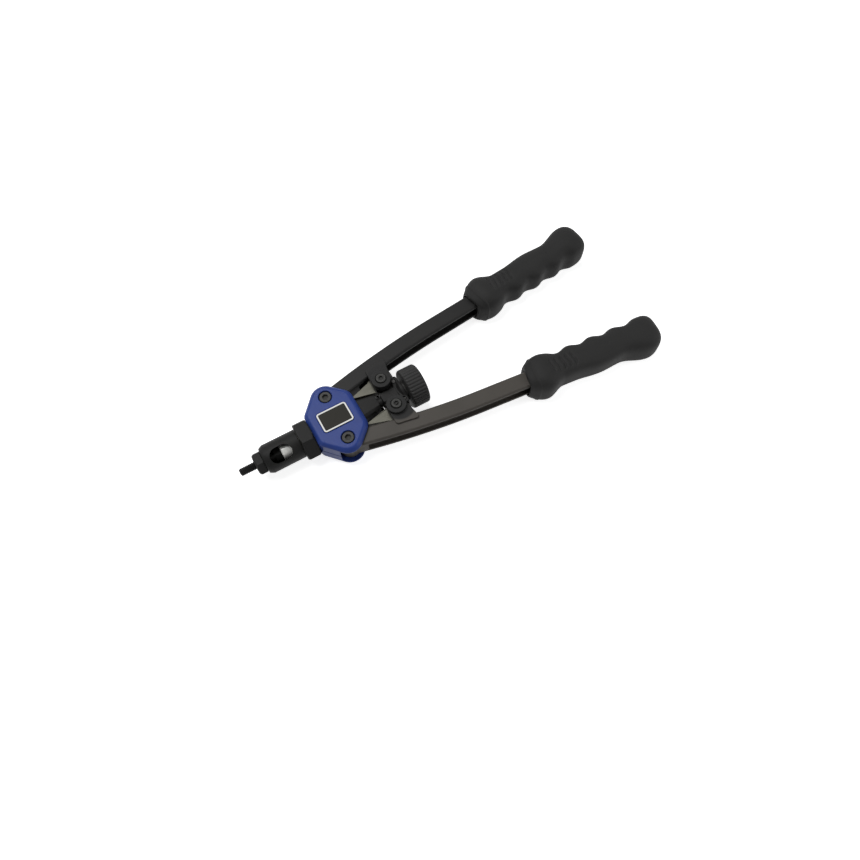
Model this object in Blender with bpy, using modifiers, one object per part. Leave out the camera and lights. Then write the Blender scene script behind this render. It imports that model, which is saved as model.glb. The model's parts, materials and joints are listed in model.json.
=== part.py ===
"""Two-handed hand tool for setting rivet nuts, lying flat, handles half open.

The tool's axis is X, nose towards -X, with the left arm on the +Y side.
Each piece is drawn about the pivot line and the mid-plane of the head, in its
own object, and the finished tool is then moved to stand on Z = 0.
"""
import math

import bmesh
import bpy
from mathutils import Euler, Matrix, Vector
from mathutils.geometry import convex_hull_2d

MM = 0.001
TOUCH_GAP = 0.3 * MM

# Head covers
PIVOT_HALF_SPACING = 19.0 * MM
HEAD_HALF_HEIGHT = 12.5 * MM
LOBE_RADIUS = 11.3 * MM
LOBE_FORWARD = 0.6 * MM
HEAD_FRONT = 21.2 * MM
NOSE_HALF_WIDTH = 16.8 * MM
NOSE_CORNER_RADIUS = 6.0 * MM
HEAD_BACK = 18.8 * MM
BACK_HALF_WIDTH = 22.0 * MM
BACK_CORNER_RADIUS = 10.5 * MM
SHOULDER_WIDTH = 3.8 * MM
SHOULDER_HEIGHT = 3.2 * MM
SKIRT_WALL = 2.4 * MM
SKIRT_BACK = 10.0 * MM
PLATE_LENGTH = 24.2 * MM
PLATE_WIDTH = 16.9 * MM
PLATE_CORNER_RADIUS = 2.2 * MM
PLATE_CENTRE = 1.1 * MM
PLATE_THICKNESS = 0.6 * MM
PLATE_RECESS = 0.5 * MM

# Pivots
PIVOT_SCREW_RADIUS = 3.0 * MM
PIVOT_HEAD_RADIUS = 4.6 * MM
PIVOT_HEAD_HEIGHT = 2.6 * MM
PIVOT_HEAD_DEPTH = 0.3 * MM
PIVOT_SOCKET_FLATS = 4.0 * MM
PIVOT_SOCKET_DEPTH = 1.8 * MM
BUSH_RADIUS = 5.2 * MM
PIVOT_NUT_FLATS = 9.0 * MM
PIVOT_NUT_HEIGHT = 2.6 * MM

# Arms
ARM_WIDTH = 13.4 * MM
ARM_HALF_HEIGHT = 7.6 * MM
ARM_ROOT_ANGLE = math.radians(14.3)
ARM_TAIL_ANGLE = math.radians(5.8)
ARM_BEND_LENGTH = 110.0 * MM
ARM_ROOT_RADIUS = 7.9 * MM
BOSS_STEP = 0.2 * MM
ARM_EDGE = 1.2 * MM
RECESS_START = 27.0 * MM
OUTER_RECESS_START = 13.0 * MM
RECESS_DEPTH = 5.0 * MM
OUTER_RECESS_DEPTH = 3.4 * MM
RECESS_HALF_HEIGHT = 4.2 * MM
TANG_LENGTH = 92.0 * MM
TANG_WIDTH = 11.0 * MM
TANG_HALF_HEIGHT = 6.0 * MM

# Ears and the pins that drive the crosshead
EAR_FORWARD = 43.8 * MM
EAR_INWARD = 6.7 * MM
EAR_RADIUS = 7.7 * MM
EAR_TOP = 12.0 * MM
EAR_WEB_TOP = 9.0 * MM
EAR_PAD_FRONT = 39.0 * MM
EAR_PAD_BACK = 53.0 * MM
EAR_PAD_CORNER = 2.0 * MM
EAR_SEAT_DEPTH = 1.4 * MM
EAR_SCREW_RADIUS = 1.5 * MM
EAR_HEAD_RADIUS = 3.9 * MM
EAR_HEAD_HEIGHT = 2.0 * MM
EAR_SOCKET_FLATS = 3.0 * MM
EAR_NUT_FLATS = 6.0 * MM
EAR_NUT_HEIGHT = 2.6 * MM
ROLLER_RADIUS = 2.6 * MM

# Motion, in degrees of one arm from the pose that is drawn
CLOSING_ANGLE = 5.0
OPENING_ANGLE = 7.0
STROKE_PER_DEGREE = 0.5 * MM

# Crosshead and the two bare steel slide plates
CROSSHEAD_HALF_HEIGHT = 6.0 * MM
CROSSHEAD_FRONT = 37.5 * MM
CROSSHEAD_STEP = 50.0 * MM
CROSSHEAD_BACK = 56.0 * MM
CROSSHEAD_NOSE_HALF_WIDTH = 4.2 * MM
CROSSHEAD_HALF_WIDTH = 12.0 * MM
CROSSHEAD_BOSS_RADIUS = 9.0 * MM
CROSSHEAD_BOSS_LENGTH = 2.6 * MM
SLIDE_HALF_HEIGHT = 3.0 * MM
SLIDE_FRONT = 19.0 * MM
SLIDE_TAIL = 54.4 * MM
SLIDE_RIM = 2.1 * MM
SLIDE_TIP_INNER = 11.9 * MM
SLIDE_TIP_OUTER = 13.4 * MM
SLIDE_NECK_INNER = 7.5 * MM
SLIDE_PIN_RADIUS = 1.5 * MM
SLIDE_PIN_ACROSS = 8.4 * MM

# Nose
SHAFT_RADIUS = 4.1 * MM
SHAFT_TAIL_RADIUS = 3.0 * MM
SHAFT_TIP_RADIUS = 3.0 * MM
SLEEVE_RADIUS = 6.7 * MM
SLEEVE_FRONT = 47.3 * MM
SLEEVE_BACK = 30.0 * MM
SLEEVE_SOCKET_DEPTH = 6.0 * MM
MANDREL_RADIUS = 3.175 * MM
MANDREL_TIP = 80.2 * MM
MANDREL_HEAD_FLATS = 8.4 * MM
MANDREL_SHANK_RADIUS = 2.5 * MM
HOUSING_ARM_ROOM = 1.1 * MM
HOUSING_BACK = 12.0 * MM
SPIGOT_RADIUS = 9.0 * MM
SPIGOT_LENGTH = 17.2 * MM
TUBE_RADIUS = 6.8 * MM
TUBE_BLOCK_HALF_WIDTH = 8.6 * MM
TUBE_BLOCK_HALF_HEIGHT = 7.4 * MM
TUBE_TAIL_HALF_WIDTH = 6.3 * MM
TUBE_TAIL_HALF_HEIGHT = 6.4 * MM
TUBE_BLOCK_CHAMFER = 2.0 * MM
TUBE_BACK = 33.5 * MM
COLLAR_FLATS = 28.2 * MM
COLLAR_LENGTH = 10.4 * MM
CAGE_RADIUS = 11.4 * MM
CAGE_LENGTH = 29.0 * MM
CAGE_FRONT_WALL = 4.6 * MM
CAGE_BORE_RADIUS = 7.4 * MM
CAGE_CHAMFER = 1.6 * MM
WINDOW_LENGTH = 17.0 * MM
WINDOW_WIDTH = 12.0 * MM
WINDOW_FROM_FRONT = 4.9 * MM
WINDOW_TURN = math.radians(31.0)
NOSEPIECE_FLATS = 16.0 * MM
NOSEPIECE_LENGTH = 6.5 * MM
NOSEPIECE_SHANK_RADIUS = 5.4 * MM
NOSEPIECE_CHAMFER = 1.2 * MM

# Knob
KNOB_RADIUS = 16.0 * MM
KNOB_LENGTH = 14.4 * MM
KNOB_RIBS = 36
KNOB_RIB_DEPTH = 0.7 * MM
KNOB_EDGE = 1.4 * MM
KNOB_DISH_RADIUS = 9.0 * MM
KNOB_DISH_DEPTH = 3.2 * MM
KNOB_SCREW_RADIUS = 1.6 * MM
KNOB_SCREW_HEAD_RADIUS = 4.6 * MM
KNOB_SCREW_HEAD_HEIGHT = 2.4 * MM
KNOB_SCREW_LENGTH = 10.0 * MM
THRUST_WASHER_RADIUS = 8.0 * MM
THRUST_WASHER_THICKNESS = 0.9 * MM

# Grips
GRIP_START = 143.5 * MM
GRIP_LENGTH = 118.0 * MM
GRIP_HALF_HEIGHT = 16.0 * MM
GRIP_WAIST_HALF_HEIGHT = 13.4 * MM
FINGER_HALF_WIDTH = 14.1 * MM
PALM_HALF_WIDTH = 11.3 * MM
FLANGE_CENTRE = 14.0 * MM
FLANGE_LENGTH = 32.0 * MM
FINGER_FLANGE = 1.9 * MM
PALM_FLANGE = 5.2 * MM
FINGER_COUNT = 4
FINGER_FIRST = 32.0 * MM
FINGER_PITCH = 20.3 * MM
FINGER_DEPTH = 2.7 * MM
PALM_SWELL = 1.8 * MM
PALM_SWELL_CENTRE = 62.0 * MM
PALM_SWELL_LENGTH = 44.0 * MM
GRIP_END_BULGE = 5.4 * MM
GRIP_END_CENTRE = 106.0 * MM
GRIP_END_LENGTH = 48.0 * MM
GRIP_END_ROUND = 12.0 * MM
GRIP_SQUARENESS = 2.5

# Fineness of round shapes
ROUND_STEPS = 48
SMALL_STEPS = 24
GRIP_RINGS = 46
GRIP_SIDES = 22

# Values that follow from the sizes above
COVER_INNER = ARM_HALF_HEIGHT + TOUCH_GAP
SPIGOT_FRONT = -HEAD_FRONT + SKIRT_WALL + TOUCH_GAP - SPIGOT_LENGTH - SKIRT_WALL
COLLAR_FRONT = -HEAD_FRONT - TOUCH_GAP - COLLAR_LENGTH
CAGE_BACK = COLLAR_FRONT - TOUCH_GAP
CAGE_FRONT = CAGE_BACK - CAGE_LENGTH
NOSEPIECE_BACK = CAGE_FRONT - TOUCH_GAP
OPENING_STROKE = OPENING_ANGLE * STROKE_PER_DEGREE
MANDREL_SHOULDER = CAGE_FRONT + CAGE_FRONT_WALL + OPENING_STROKE + 2 * TOUCH_GAP
KNOB_FRONT = CROSSHEAD_BACK + THRUST_WASHER_THICKNESS + 2 * TOUCH_GAP
KNOB_BACK = KNOB_FRONT + KNOB_LENGTH
SLEEVE_BORE = SHAFT_TIP_RADIUS + TOUCH_GAP
RUNNING = 0.3 * MM
HOUSING_HALF_WIDTH = PIVOT_HALF_SPACING - ARM_ROOT_RADIUS - HOUSING_ARM_ROOM
THROUGH = 4 * HEAD_HALF_HEIGHT

PARTS = "rivet_nut_tool"
CUTTERS = "cutters"


# Scene, materials and meshes
def start_scene():
    for thing in list(bpy.data.objects):
        bpy.data.objects.remove(thing, do_unlink=True)
    for name in (PARTS, CUTTERS):
        if name not in bpy.data.collections:
            bpy.context.scene.collection.children.link(bpy.data.collections.new(name))


def finish(name, colour, roughness, metallic):
    material = bpy.data.materials.get(name) or bpy.data.materials.new(name)
    material.use_nodes = True
    shader = material.node_tree.nodes["Principled BSDF"]
    shader.inputs["Base Color"].default_value = (*colour, 1.0)
    shader.inputs["Roughness"].default_value = roughness
    shader.inputs["Metallic"].default_value = metallic
    return material


def new_object(name, mesh, collection=PARTS):
    thing = bpy.data.objects.new(name, mesh)
    bpy.data.collections[collection].objects.link(thing)
    if collection == CUTTERS:
        thing.hide_render = True
        thing.display_type = "WIRE"
    return thing


def evaluated_mesh(thing):
    depsgraph = bpy.context.evaluated_depsgraph_get()
    depsgraph.update()
    return bpy.data.meshes.new_from_object(thing.evaluated_get(depsgraph))


def apply_modifiers(thing):
    mesh = evaluated_mesh(thing)
    thing.modifiers.clear()
    thing.data = mesh
    return thing


def clean(thing, merge=0.001 * MM):
    """Weld doubles and make every face point outwards."""
    shape = bmesh.new()
    shape.from_mesh(thing.data)
    bmesh.ops.remove_doubles(shape, verts=shape.verts, dist=merge)
    bmesh.ops.recalc_face_normals(shape, faces=shape.faces)
    shape.to_mesh(thing.data)
    shape.free()
    return thing


def placed(thing, matrix):
    thing.data.transform(matrix)
    return thing


def along_x():
    """Turns a shape drawn about Z so that its axis is X."""
    return Matrix.Rotation(math.radians(90.0), 4, "Y")


def add_bevel(thing, width, segments=1, angle=30.0):
    bevel = thing.modifiers.new("edges", "BEVEL")
    bevel.width = width
    bevel.segments = segments
    bevel.limit_method = "ANGLE"
    bevel.angle_limit = math.radians(angle)
    return apply_modifiers(thing)


def join_or_cut(thing, others, operation):
    for other in others:
        step = thing.modifiers.new(operation.lower(), "BOOLEAN")
        step.operation = operation
        step.solver = "EXACT"
        step.object = other
        apply_modifiers(thing)
        bpy.data.objects.remove(other, do_unlink=True)
    return clean(thing)


def cut(thing, *cutters):
    return join_or_cut(thing, cutters, "DIFFERENCE")


def join(thing, *additions):
    return join_or_cut(thing, additions, "UNION")


# Basic shapes
def box(name, low, high, collection=PARTS):
    low, high = Vector(low), Vector(high)
    shape = bmesh.new()
    bmesh.ops.create_cube(shape, size=1.0)
    size = Matrix.Diagonal((*(high - low), 1.0))
    bmesh.ops.transform(shape, matrix=Matrix.Translation((low + high) / 2) @ size, verts=shape.verts)
    mesh = bpy.data.meshes.new(name)
    shape.to_mesh(mesh)
    shape.free()
    return new_object(name, mesh, collection)


def post(name, radius, low, high, sides=SMALL_STEPS, collection=PARTS, turn=0.0):
    """An upright cylinder or prism about Z, between two heights."""
    shape = bmesh.new()
    bmesh.ops.create_cone(
        shape, cap_ends=True, segments=sides, radius1=radius, radius2=radius, depth=high - low)
    move = Matrix.Translation((0, 0, (low + high) / 2)) @ Matrix.Rotation(turn, 4, "Z")
    bmesh.ops.transform(shape, matrix=move, verts=shape.verts)
    mesh = bpy.data.meshes.new(name)
    shape.to_mesh(mesh)
    shape.free()
    return new_object(name, mesh, collection)


def hexagon(name, flats, low, high, collection=PARTS, turn=0.0):
    return post(name, flats / math.sqrt(3.0), low, high, 6, collection, turn)


def prism(name, outline, low, high, holes=(), collection=PARTS):
    """A flat outline, with any holes, between two heights."""
    curve = bpy.data.curves.new(name, "CURVE")
    curve.dimensions = "2D"
    curve.fill_mode = "BOTH"
    curve.extrude = (high - low) / 2
    for loop in (outline, *holes):
        spline = curve.splines.new("POLY")
        spline.points.add(len(loop) - 1)
        for point, (x, y) in zip(spline.points, loop):
            point.co = (x, y, 0.0, 1.0)
        spline.use_cyclic_u = True
    drawing = new_object(name + "_outline", curve, CUTTERS)
    mesh = evaluated_mesh(drawing)
    bpy.data.objects.remove(drawing, do_unlink=True)
    mesh.transform(Matrix.Translation((0, 0, (low + high) / 2)))
    return clean(new_object(name, mesh, collection))


def turned(name, profile, steps=ROUND_STEPS, collection=PARTS):
    """A profile of (x, radius) points turned about the X axis.

    A profile that starts and ends at radius 0 is a solid; any other is closed
    into a ring. It runs from the rear, along the outside, to the front.
    """
    solid = profile[0][1] == 0.0 and profile[-1][1] == 0.0
    mesh = bpy.data.meshes.new(name)
    points = [(radius, 0.0, x) for x, radius in profile]
    edges = [(i, i + 1) for i in range(len(points) - 1)]
    if not solid:
        edges.append((len(points) - 1, 0))
    mesh.from_pydata(points, edges, [])
    thing = new_object(name, mesh, collection)
    screw = thing.modifiers.new("turn", "SCREW")
    screw.steps = steps
    screw.render_steps = steps
    screw.use_merge_vertices = True
    screw.merge_threshold = 0.001 * MM
    apply_modifiers(thing)
    placed(thing, along_x())
    return clean(thing)


def loft(name, rings, collection=PARTS):
    """A closed skin over a stack of rings, whose ends are filled."""
    mesh = bpy.data.meshes.new(name)
    shape = bmesh.new()
    layers = [[shape.verts.new(point) for point in ring] for ring in rings]
    count = len(layers[0])
    for low, high in zip(layers, layers[1:]):
        for i in range(count):
            j = (i + 1) % count
            shape.faces.new((low[i], low[j], high[j], high[i]))
    shape.faces.new(reversed(layers[0]))
    shape.faces.new(layers[-1])
    bmesh.ops.recalc_face_normals(shape, faces=shape.faces)
    shape.to_mesh(mesh)
    shape.free()
    return new_object(name, mesh, collection)


def smooth(thing, angle=35.0):
    thing.data.shade_smooth()
    thing.data.set_sharp_from_angle(angle=math.radians(angle))
    return thing


# Outlines
def circle(x, y, radius, steps=ROUND_STEPS):
    turns = (2 * math.pi * i / steps for i in range(steps))
    return [(x + radius * math.cos(a), y + radius * math.sin(a)) for a in turns]


def hull(circles, steps=ROUND_STEPS):
    """The line that a tight belt would make round the given circles."""
    points = [p for x, y, radius in circles for p in circle(x, y, radius, steps)]
    return [points[i] for i in convex_hull_2d(points)]


def rounded(corners, steps=5):
    """A polygon of (x, y, corner radius), with each corner rounded by an arc."""
    outline = []
    count = len(corners)
    for i, (x, y, radius) in enumerate(corners):
        here = Vector((x, y))
        before = (Vector(corners[i - 1][:2]) - here).normalized()
        after = (Vector(corners[(i + 1) % count][:2]) - here).normalized()
        half = before.angle(after) / 2
        middle = here + (before + after).normalized() * radius / math.sin(half)
        start = here + before * radius / math.tan(half) - middle
        sweep = (math.pi - 2 * half) * (1 if before.cross(after) < 0 else -1)
        for k in range(steps + 1):
            spoke = Matrix.Rotation(sweep * k / steps, 2) @ start
            outline.append(tuple(middle + spoke))
    return outline


def chamfered(wide, high, chamfer):
    """A rectangle about the origin whose corners are cut off, as 8 points."""
    section = []
    for a, b in ((1, 1), (-1, 1), (-1, -1), (1, -1)):
        side_point = (a * wide, b * (high - chamfer))
        top_point = (a * (wide - chamfer), b * high)
        section += [side_point, top_point] if a * b > 0 else [top_point, side_point]
    return section


def mirrored_outline(outline):
    return [(x, -y) for x, y in reversed(outline)]


def head_outline(inset=0.0):
    """The shield shape of the covers, drawn in by an inset."""
    circles = []
    for side in (1, -1):
        nose = NOSE_HALF_WIDTH - NOSE_CORNER_RADIUS
        back = BACK_HALF_WIDTH - BACK_CORNER_RADIUS
        circles.append((-HEAD_FRONT + NOSE_CORNER_RADIUS, side * nose, NOSE_CORNER_RADIUS - inset))
        circles.append((-LOBE_FORWARD, side * PIVOT_HALF_SPACING, LOBE_RADIUS - inset))
        circles.append((HEAD_BACK - BACK_CORNER_RADIUS, side * back, BACK_CORNER_RADIUS - inset))
    return hull(circles)


# Arm geometry, in the frame of its own pivot
def arm_angle(distance):
    """Direction of the arm's centre line at a distance along it."""
    share = min(max(distance / ARM_BEND_LENGTH, 0.0), 1.0)
    return ARM_ROOT_ANGLE + (ARM_TAIL_ANGLE - ARM_ROOT_ANGLE) * share


def arm_point(distance, across=0.0, steps=40):
    """A point of the centre line, moved sideways; across is positive outwards."""
    x = y = 0.0
    step = distance / steps
    for i in range(steps):
        angle = arm_angle((i + 0.5) * step)
        x += step * math.cos(angle)
        y += step * math.sin(angle)
    angle = arm_angle(distance)
    return (x - across * math.sin(angle), y + across * math.cos(angle))


def arm_strip(start, end, inner, outer, pieces):
    """A band that follows the arm between two distances and two offsets."""
    stations = [start + (end - start) * i / pieces for i in range(pieces + 1)]
    near = [arm_point(s, inner) for s in stations]
    far = [arm_point(s, outer) for s in reversed(stations)]
    return near + far


def turned_about_pivot(x, y, degrees):
    angle = math.radians(degrees)
    return (x * math.cos(angle) - y * math.sin(angle), x * math.sin(angle) + y * math.cos(angle))


def driving_pin(degrees):
    """The left driving pin as the crosshead sees it, for an arm angle."""
    x, y = turned_about_pivot(EAR_FORWARD, -EAR_INWARD, degrees)
    return (x + STROKE_PER_DEGREE * degrees, y + PIVOT_HALF_SPACING)


# Head
def make_cover(name):
    """The upper half of the cast head, drawn with its flat face up."""
    rings = [
        (TOUCH_GAP / 2, 0.0),
        (HEAD_HALF_HEIGHT - SHOULDER_HEIGHT, 0.0),
        (HEAD_HALF_HEIGHT - SHOULDER_HEIGHT / 4, SHOULDER_WIDTH / 2),
        (HEAD_HALF_HEIGHT, SHOULDER_WIDTH),
    ]
    outlines = [head_outline(inset) for height, inset in rings]
    cover = loft(name, [
        [(x, y, height) for x, y in outline] for (height, inset), outline in zip(rings, outlines)])
    cavity = prism("cavity", head_outline(SKIRT_WALL), -1 * MM, COVER_INNER, collection=CUTTERS)
    mouth_low = (-SKIRT_BACK, -2 * PIVOT_HALF_SPACING, -1 * MM)
    mouth_high = (2 * HEAD_BACK, 2 * PIVOT_HALF_SPACING, COVER_INNER)
    mouth = box("mouth", mouth_low, mouth_high, CUTTERS)
    spigot_way = post("spigot_way", SPIGOT_RADIUS + TOUCH_GAP, -2 * HEAD_FRONT, 0, ROUND_STEPS, CUTTERS)
    placed(spigot_way, along_x())
    return cut(cover, cavity, mouth, spigot_way)


def shifted(thing, x=0.0, y=0.0, z=0.0):
    return placed(thing, Matrix.Translation((x, y, z)))


def make_head(paint, label):
    upper = make_cover("head_upper_cover")
    lower = make_cover("head_lower_cover")
    placed(lower, Matrix.Rotation(math.pi, 4, "X"))
    floor = HEAD_HALF_HEIGHT - PIVOT_HEAD_DEPTH - PIVOT_HEAD_HEIGHT - TOUCH_GAP
    nut_floor = -HEAD_HALF_HEIGHT + PIVOT_HEAD_DEPTH + PIVOT_NUT_HEIGHT + TOUCH_GAP
    reach = 2 * HEAD_HALF_HEIGHT
    for side in (1, -1):
        y = side * PIVOT_HALF_SPACING
        hole = PIVOT_SCREW_RADIUS + TOUCH_GAP
        through = shifted(post("hole", hole, 0, reach, collection=CUTTERS), y=y)
        seat_radius = PIVOT_HEAD_RADIUS + 2 * TOUCH_GAP
        seat = shifted(post("seat", seat_radius, floor, reach, ROUND_STEPS, CUTTERS), y=y)
        cut(upper, through, seat)
        through = shifted(post("hole", hole, -reach, 0, collection=CUTTERS), y=y)
        nut_way = PIVOT_NUT_FLATS + 2 * TOUCH_GAP
        seat = shifted(hexagon("seat", nut_way, -reach, nut_floor, CUTTERS), y=y)
        cut(lower, through, seat)
    recess = label_outline(TOUCH_GAP)
    label_floor = HEAD_HALF_HEIGHT - PLATE_RECESS
    cut(upper, prism("recess", recess, label_floor, reach, collection=CUTTERS))
    plate_low = label_floor + TOUCH_GAP
    plate = prism("name_plate", label_outline(), plate_low, plate_low + PLATE_THICKNESS)
    for cover in (upper, lower):
        smooth(cover, 28.0)
        cover.data.materials.append(paint)
    plate.data.materials.append(label)
    return [upper, lower, plate]


def label_outline(grow=0.0):
    long = PLATE_LENGTH / 2 + grow
    wide = PLATE_WIDTH / 2 + grow
    corner = PLATE_CORNER_RADIUS + grow
    signs = ((1, 1), (-1, 1), (-1, -1), (1, -1))
    return rounded([(-PLATE_CENTRE + a * long, b * wide, corner) for a, b in signs])


def cap_screw(name, radius, head_radius, head_height, top, bottom, socket_flats, socket_depth):
    """A socket head screw about Z, from the top of its head to its end."""
    head = post(name, head_radius, top - head_height, top)
    add_bevel(head, 0.12 * head_radius, 2, 50.0)
    shank = post("shank", radius, bottom, top - head_height / 2, collection=CUTTERS)
    join(head, shank)
    return cut(head, hexagon("socket", socket_flats, top - socket_depth, top + head_height, CUTTERS))


def ring(name, radius, bore, low, high, steps=SMALL_STEPS):
    """An upright washer, bush or roller."""
    return prism(name, circle(0, 0, radius, steps), low, high, [circle(0, 0, bore, steps)])


def hex_nut(name, flats, bore, low, high):
    corners = [(y, -x) for x, y in circle(0, 0, flats / math.sqrt(3.0), 6)]
    return prism(name, corners, low, high, [circle(0, 0, bore, SMALL_STEPS)])


def make_pivots(black, steel):
    pieces = []
    top = HEAD_HALF_HEIGHT - PIVOT_HEAD_DEPTH
    for side, word in ((1, "left"), (-1, "right")):
        screw = cap_screw(
            word + "_pivot_screw", PIVOT_SCREW_RADIUS, PIVOT_HEAD_RADIUS, PIVOT_HEAD_HEIGHT,
            top, -top, PIVOT_SOCKET_FLATS, PIVOT_SOCKET_DEPTH)
        bush = ring(
            word + "_pivot_bush", BUSH_RADIUS, PIVOT_SCREW_RADIUS + TOUCH_GAP,
            -ARM_HALF_HEIGHT, ARM_HALF_HEIGHT, 32)
        nut = hex_nut(
            word + "_pivot_nut", PIVOT_NUT_FLATS, PIVOT_SCREW_RADIUS + TOUCH_GAP,
            -top, -top + PIVOT_NUT_HEIGHT)
        for piece, material in ((screw, black), (bush, steel), (nut, black)):
            shifted(smooth(piece), y=side * PIVOT_HALF_SPACING)
            piece.data.materials.append(material)
            pieces.append(piece)
    return pieces


# Nose
def make_nose(black, dark, steel):
    bore = SHAFT_RADIUS + TOUCH_GAP
    block_front = -HEAD_FRONT + SKIRT_WALL + TOUCH_GAP
    sleeve_room = SLEEVE_RADIUS + TOUCH_GAP
    tube_front = 0.0
    housing = box(
        "nose_housing", (block_front, -HOUSING_HALF_WIDTH, -ARM_HALF_HEIGHT),
        (HOUSING_BACK, HOUSING_HALF_WIDTH, ARM_HALF_HEIGHT))
    spigot = turned("spigot", [
        (block_front + 1 * MM, 0.0), (block_front + 1 * MM, SPIGOT_RADIUS - 2 * MM),
        (block_front - 0.1 * MM, SPIGOT_RADIUS), (SPIGOT_FRONT, SPIGOT_RADIUS), (SPIGOT_FRONT, 0.0),
    ], collection=CUTTERS)
    join(housing, spigot)
    way = turned("way", [
        (2 * HOUSING_BACK, 0.0), (2 * HOUSING_BACK, TUBE_RADIUS + TOUCH_GAP),
        (tube_front - TOUCH_GAP, TUBE_RADIUS + TOUCH_GAP), (tube_front - TOUCH_GAP, bore),
        (block_front, bore), (block_front, sleeve_room),
        (2 * SPIGOT_FRONT, sleeve_room), (2 * SPIGOT_FRONT, 0.0),
    ], collection=CUTTERS)
    cut(housing, way)

    block = []
    for x, wide, high in (
            (HOUSING_BACK + TOUCH_GAP, TUBE_BLOCK_HALF_WIDTH, TUBE_BLOCK_HALF_HEIGHT),
            (HEAD_BACK, TUBE_BLOCK_HALF_WIDTH, TUBE_BLOCK_HALF_HEIGHT),
            (TUBE_BACK, TUBE_TAIL_HALF_WIDTH, TUBE_TAIL_HALF_HEIGHT)):
        block.append([(x, y, z) for y, z in chamfered(wide, high, TUBE_BLOCK_CHAMFER)])
    tube = loft("guide_tube", block)
    plug = post("plug", TUBE_RADIUS, tube_front, HOUSING_BACK + 1 * MM, ROUND_STEPS, CUTTERS)
    join(tube, placed(plug, along_x()))
    tube_way = post("way", bore, -HEAD_FRONT, 2 * TUBE_BACK, 32, CUTTERS)
    cut(tube, placed(tube_way, along_x()))

    collar_bore = SPIGOT_RADIUS + TOUCH_GAP
    collar_corner = COLLAR_FLATS / math.sqrt(3.0)
    collar = hexagon("nose_collar", COLLAR_FLATS, COLLAR_FRONT, COLLAR_FRONT + COLLAR_LENGTH)
    placed(collar, along_x())
    crown = turned("crown", [
        (COLLAR_FRONT + COLLAR_LENGTH, 0.0), (COLLAR_FRONT + COLLAR_LENGTH, COLLAR_FLATS / 2),
        (COLLAR_FRONT + COLLAR_LENGTH - 1.2 * MM, collar_corner + 0.2 * MM),
        (COLLAR_FRONT + 1.2 * MM, collar_corner + 0.2 * MM),
        (COLLAR_FRONT, COLLAR_FLATS / 2), (COLLAR_FRONT, 0.0),
    ], collection=CUTTERS)
    join_or_cut(collar, [crown], "INTERSECT")
    collar_way = post("way", collar_bore, -100 * MM, 100 * MM, ROUND_STEPS, CUTTERS)
    cut(collar, placed(collar_way, along_x()))

    front_bore = NOSEPIECE_SHANK_RADIUS + TOUCH_GAP
    wall = CAGE_FRONT + CAGE_FRONT_WALL
    step = SPIGOT_FRONT - TOUCH_GAP
    cage = turned("nose_cage", [
        (CAGE_BACK, collar_bore), (CAGE_BACK, CAGE_RADIUS),
        (CAGE_FRONT + 2 * CAGE_CHAMFER, CAGE_RADIUS), (CAGE_FRONT, CAGE_RADIUS - CAGE_CHAMFER),
        (CAGE_FRONT, front_bore), (wall, front_bore), (wall, CAGE_BORE_RADIUS),
        (step, CAGE_BORE_RADIUS), (step, collar_bore),
    ])
    start = CAGE_FRONT + WINDOW_FROM_FRONT + WINDOW_WIDTH / 2
    end = start + WINDOW_LENGTH - WINDOW_WIDTH
    slot = hull([(start, 0, WINDOW_WIDTH / 2), (end, 0, WINDOW_WIDTH / 2)], 32)
    window = prism("window", slot, 0.0, 2 * CAGE_RADIUS, collection=CUTTERS)
    cut(cage, placed(window, Matrix.Rotation(WINDOW_TURN, 4, "X")))

    front = NOSEPIECE_BACK - NOSEPIECE_LENGTH
    piece_corner = NOSEPIECE_FLATS / math.sqrt(3.0)
    nosepiece = hexagon("nosepiece", NOSEPIECE_FLATS, front, NOSEPIECE_BACK)
    placed(nosepiece, along_x())
    crown = turned("crown", [
        (NOSEPIECE_BACK + 1 * MM, 0.0), (NOSEPIECE_BACK + 1 * MM, piece_corner + 0.2 * MM),
        (front + NOSEPIECE_CHAMFER * 1.5, piece_corner + 0.2 * MM),
        (front, piece_corner - 2 * NOSEPIECE_CHAMFER), (front, 0.0),
    ], collection=CUTTERS)
    join_or_cut(nosepiece, [crown], "INTERSECT")
    shank = post("shank", NOSEPIECE_SHANK_RADIUS, NOSEPIECE_BACK - 1 * MM, wall, 32, CUTTERS)
    join(nosepiece, placed(shank, along_x()))
    hole = post("hole", MANDREL_RADIUS + RUNNING, 2 * front, 0, collection=CUTTERS)
    cut(nosepiece, placed(hole, along_x()))

    for thing, material in (
            (housing, steel), (tube, black), (collar, black), (cage, black), (nosepiece, dark)):
        smooth(thing)
        thing.data.materials.append(material)
    return [housing, tube, collar, cage, nosepiece]


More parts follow.
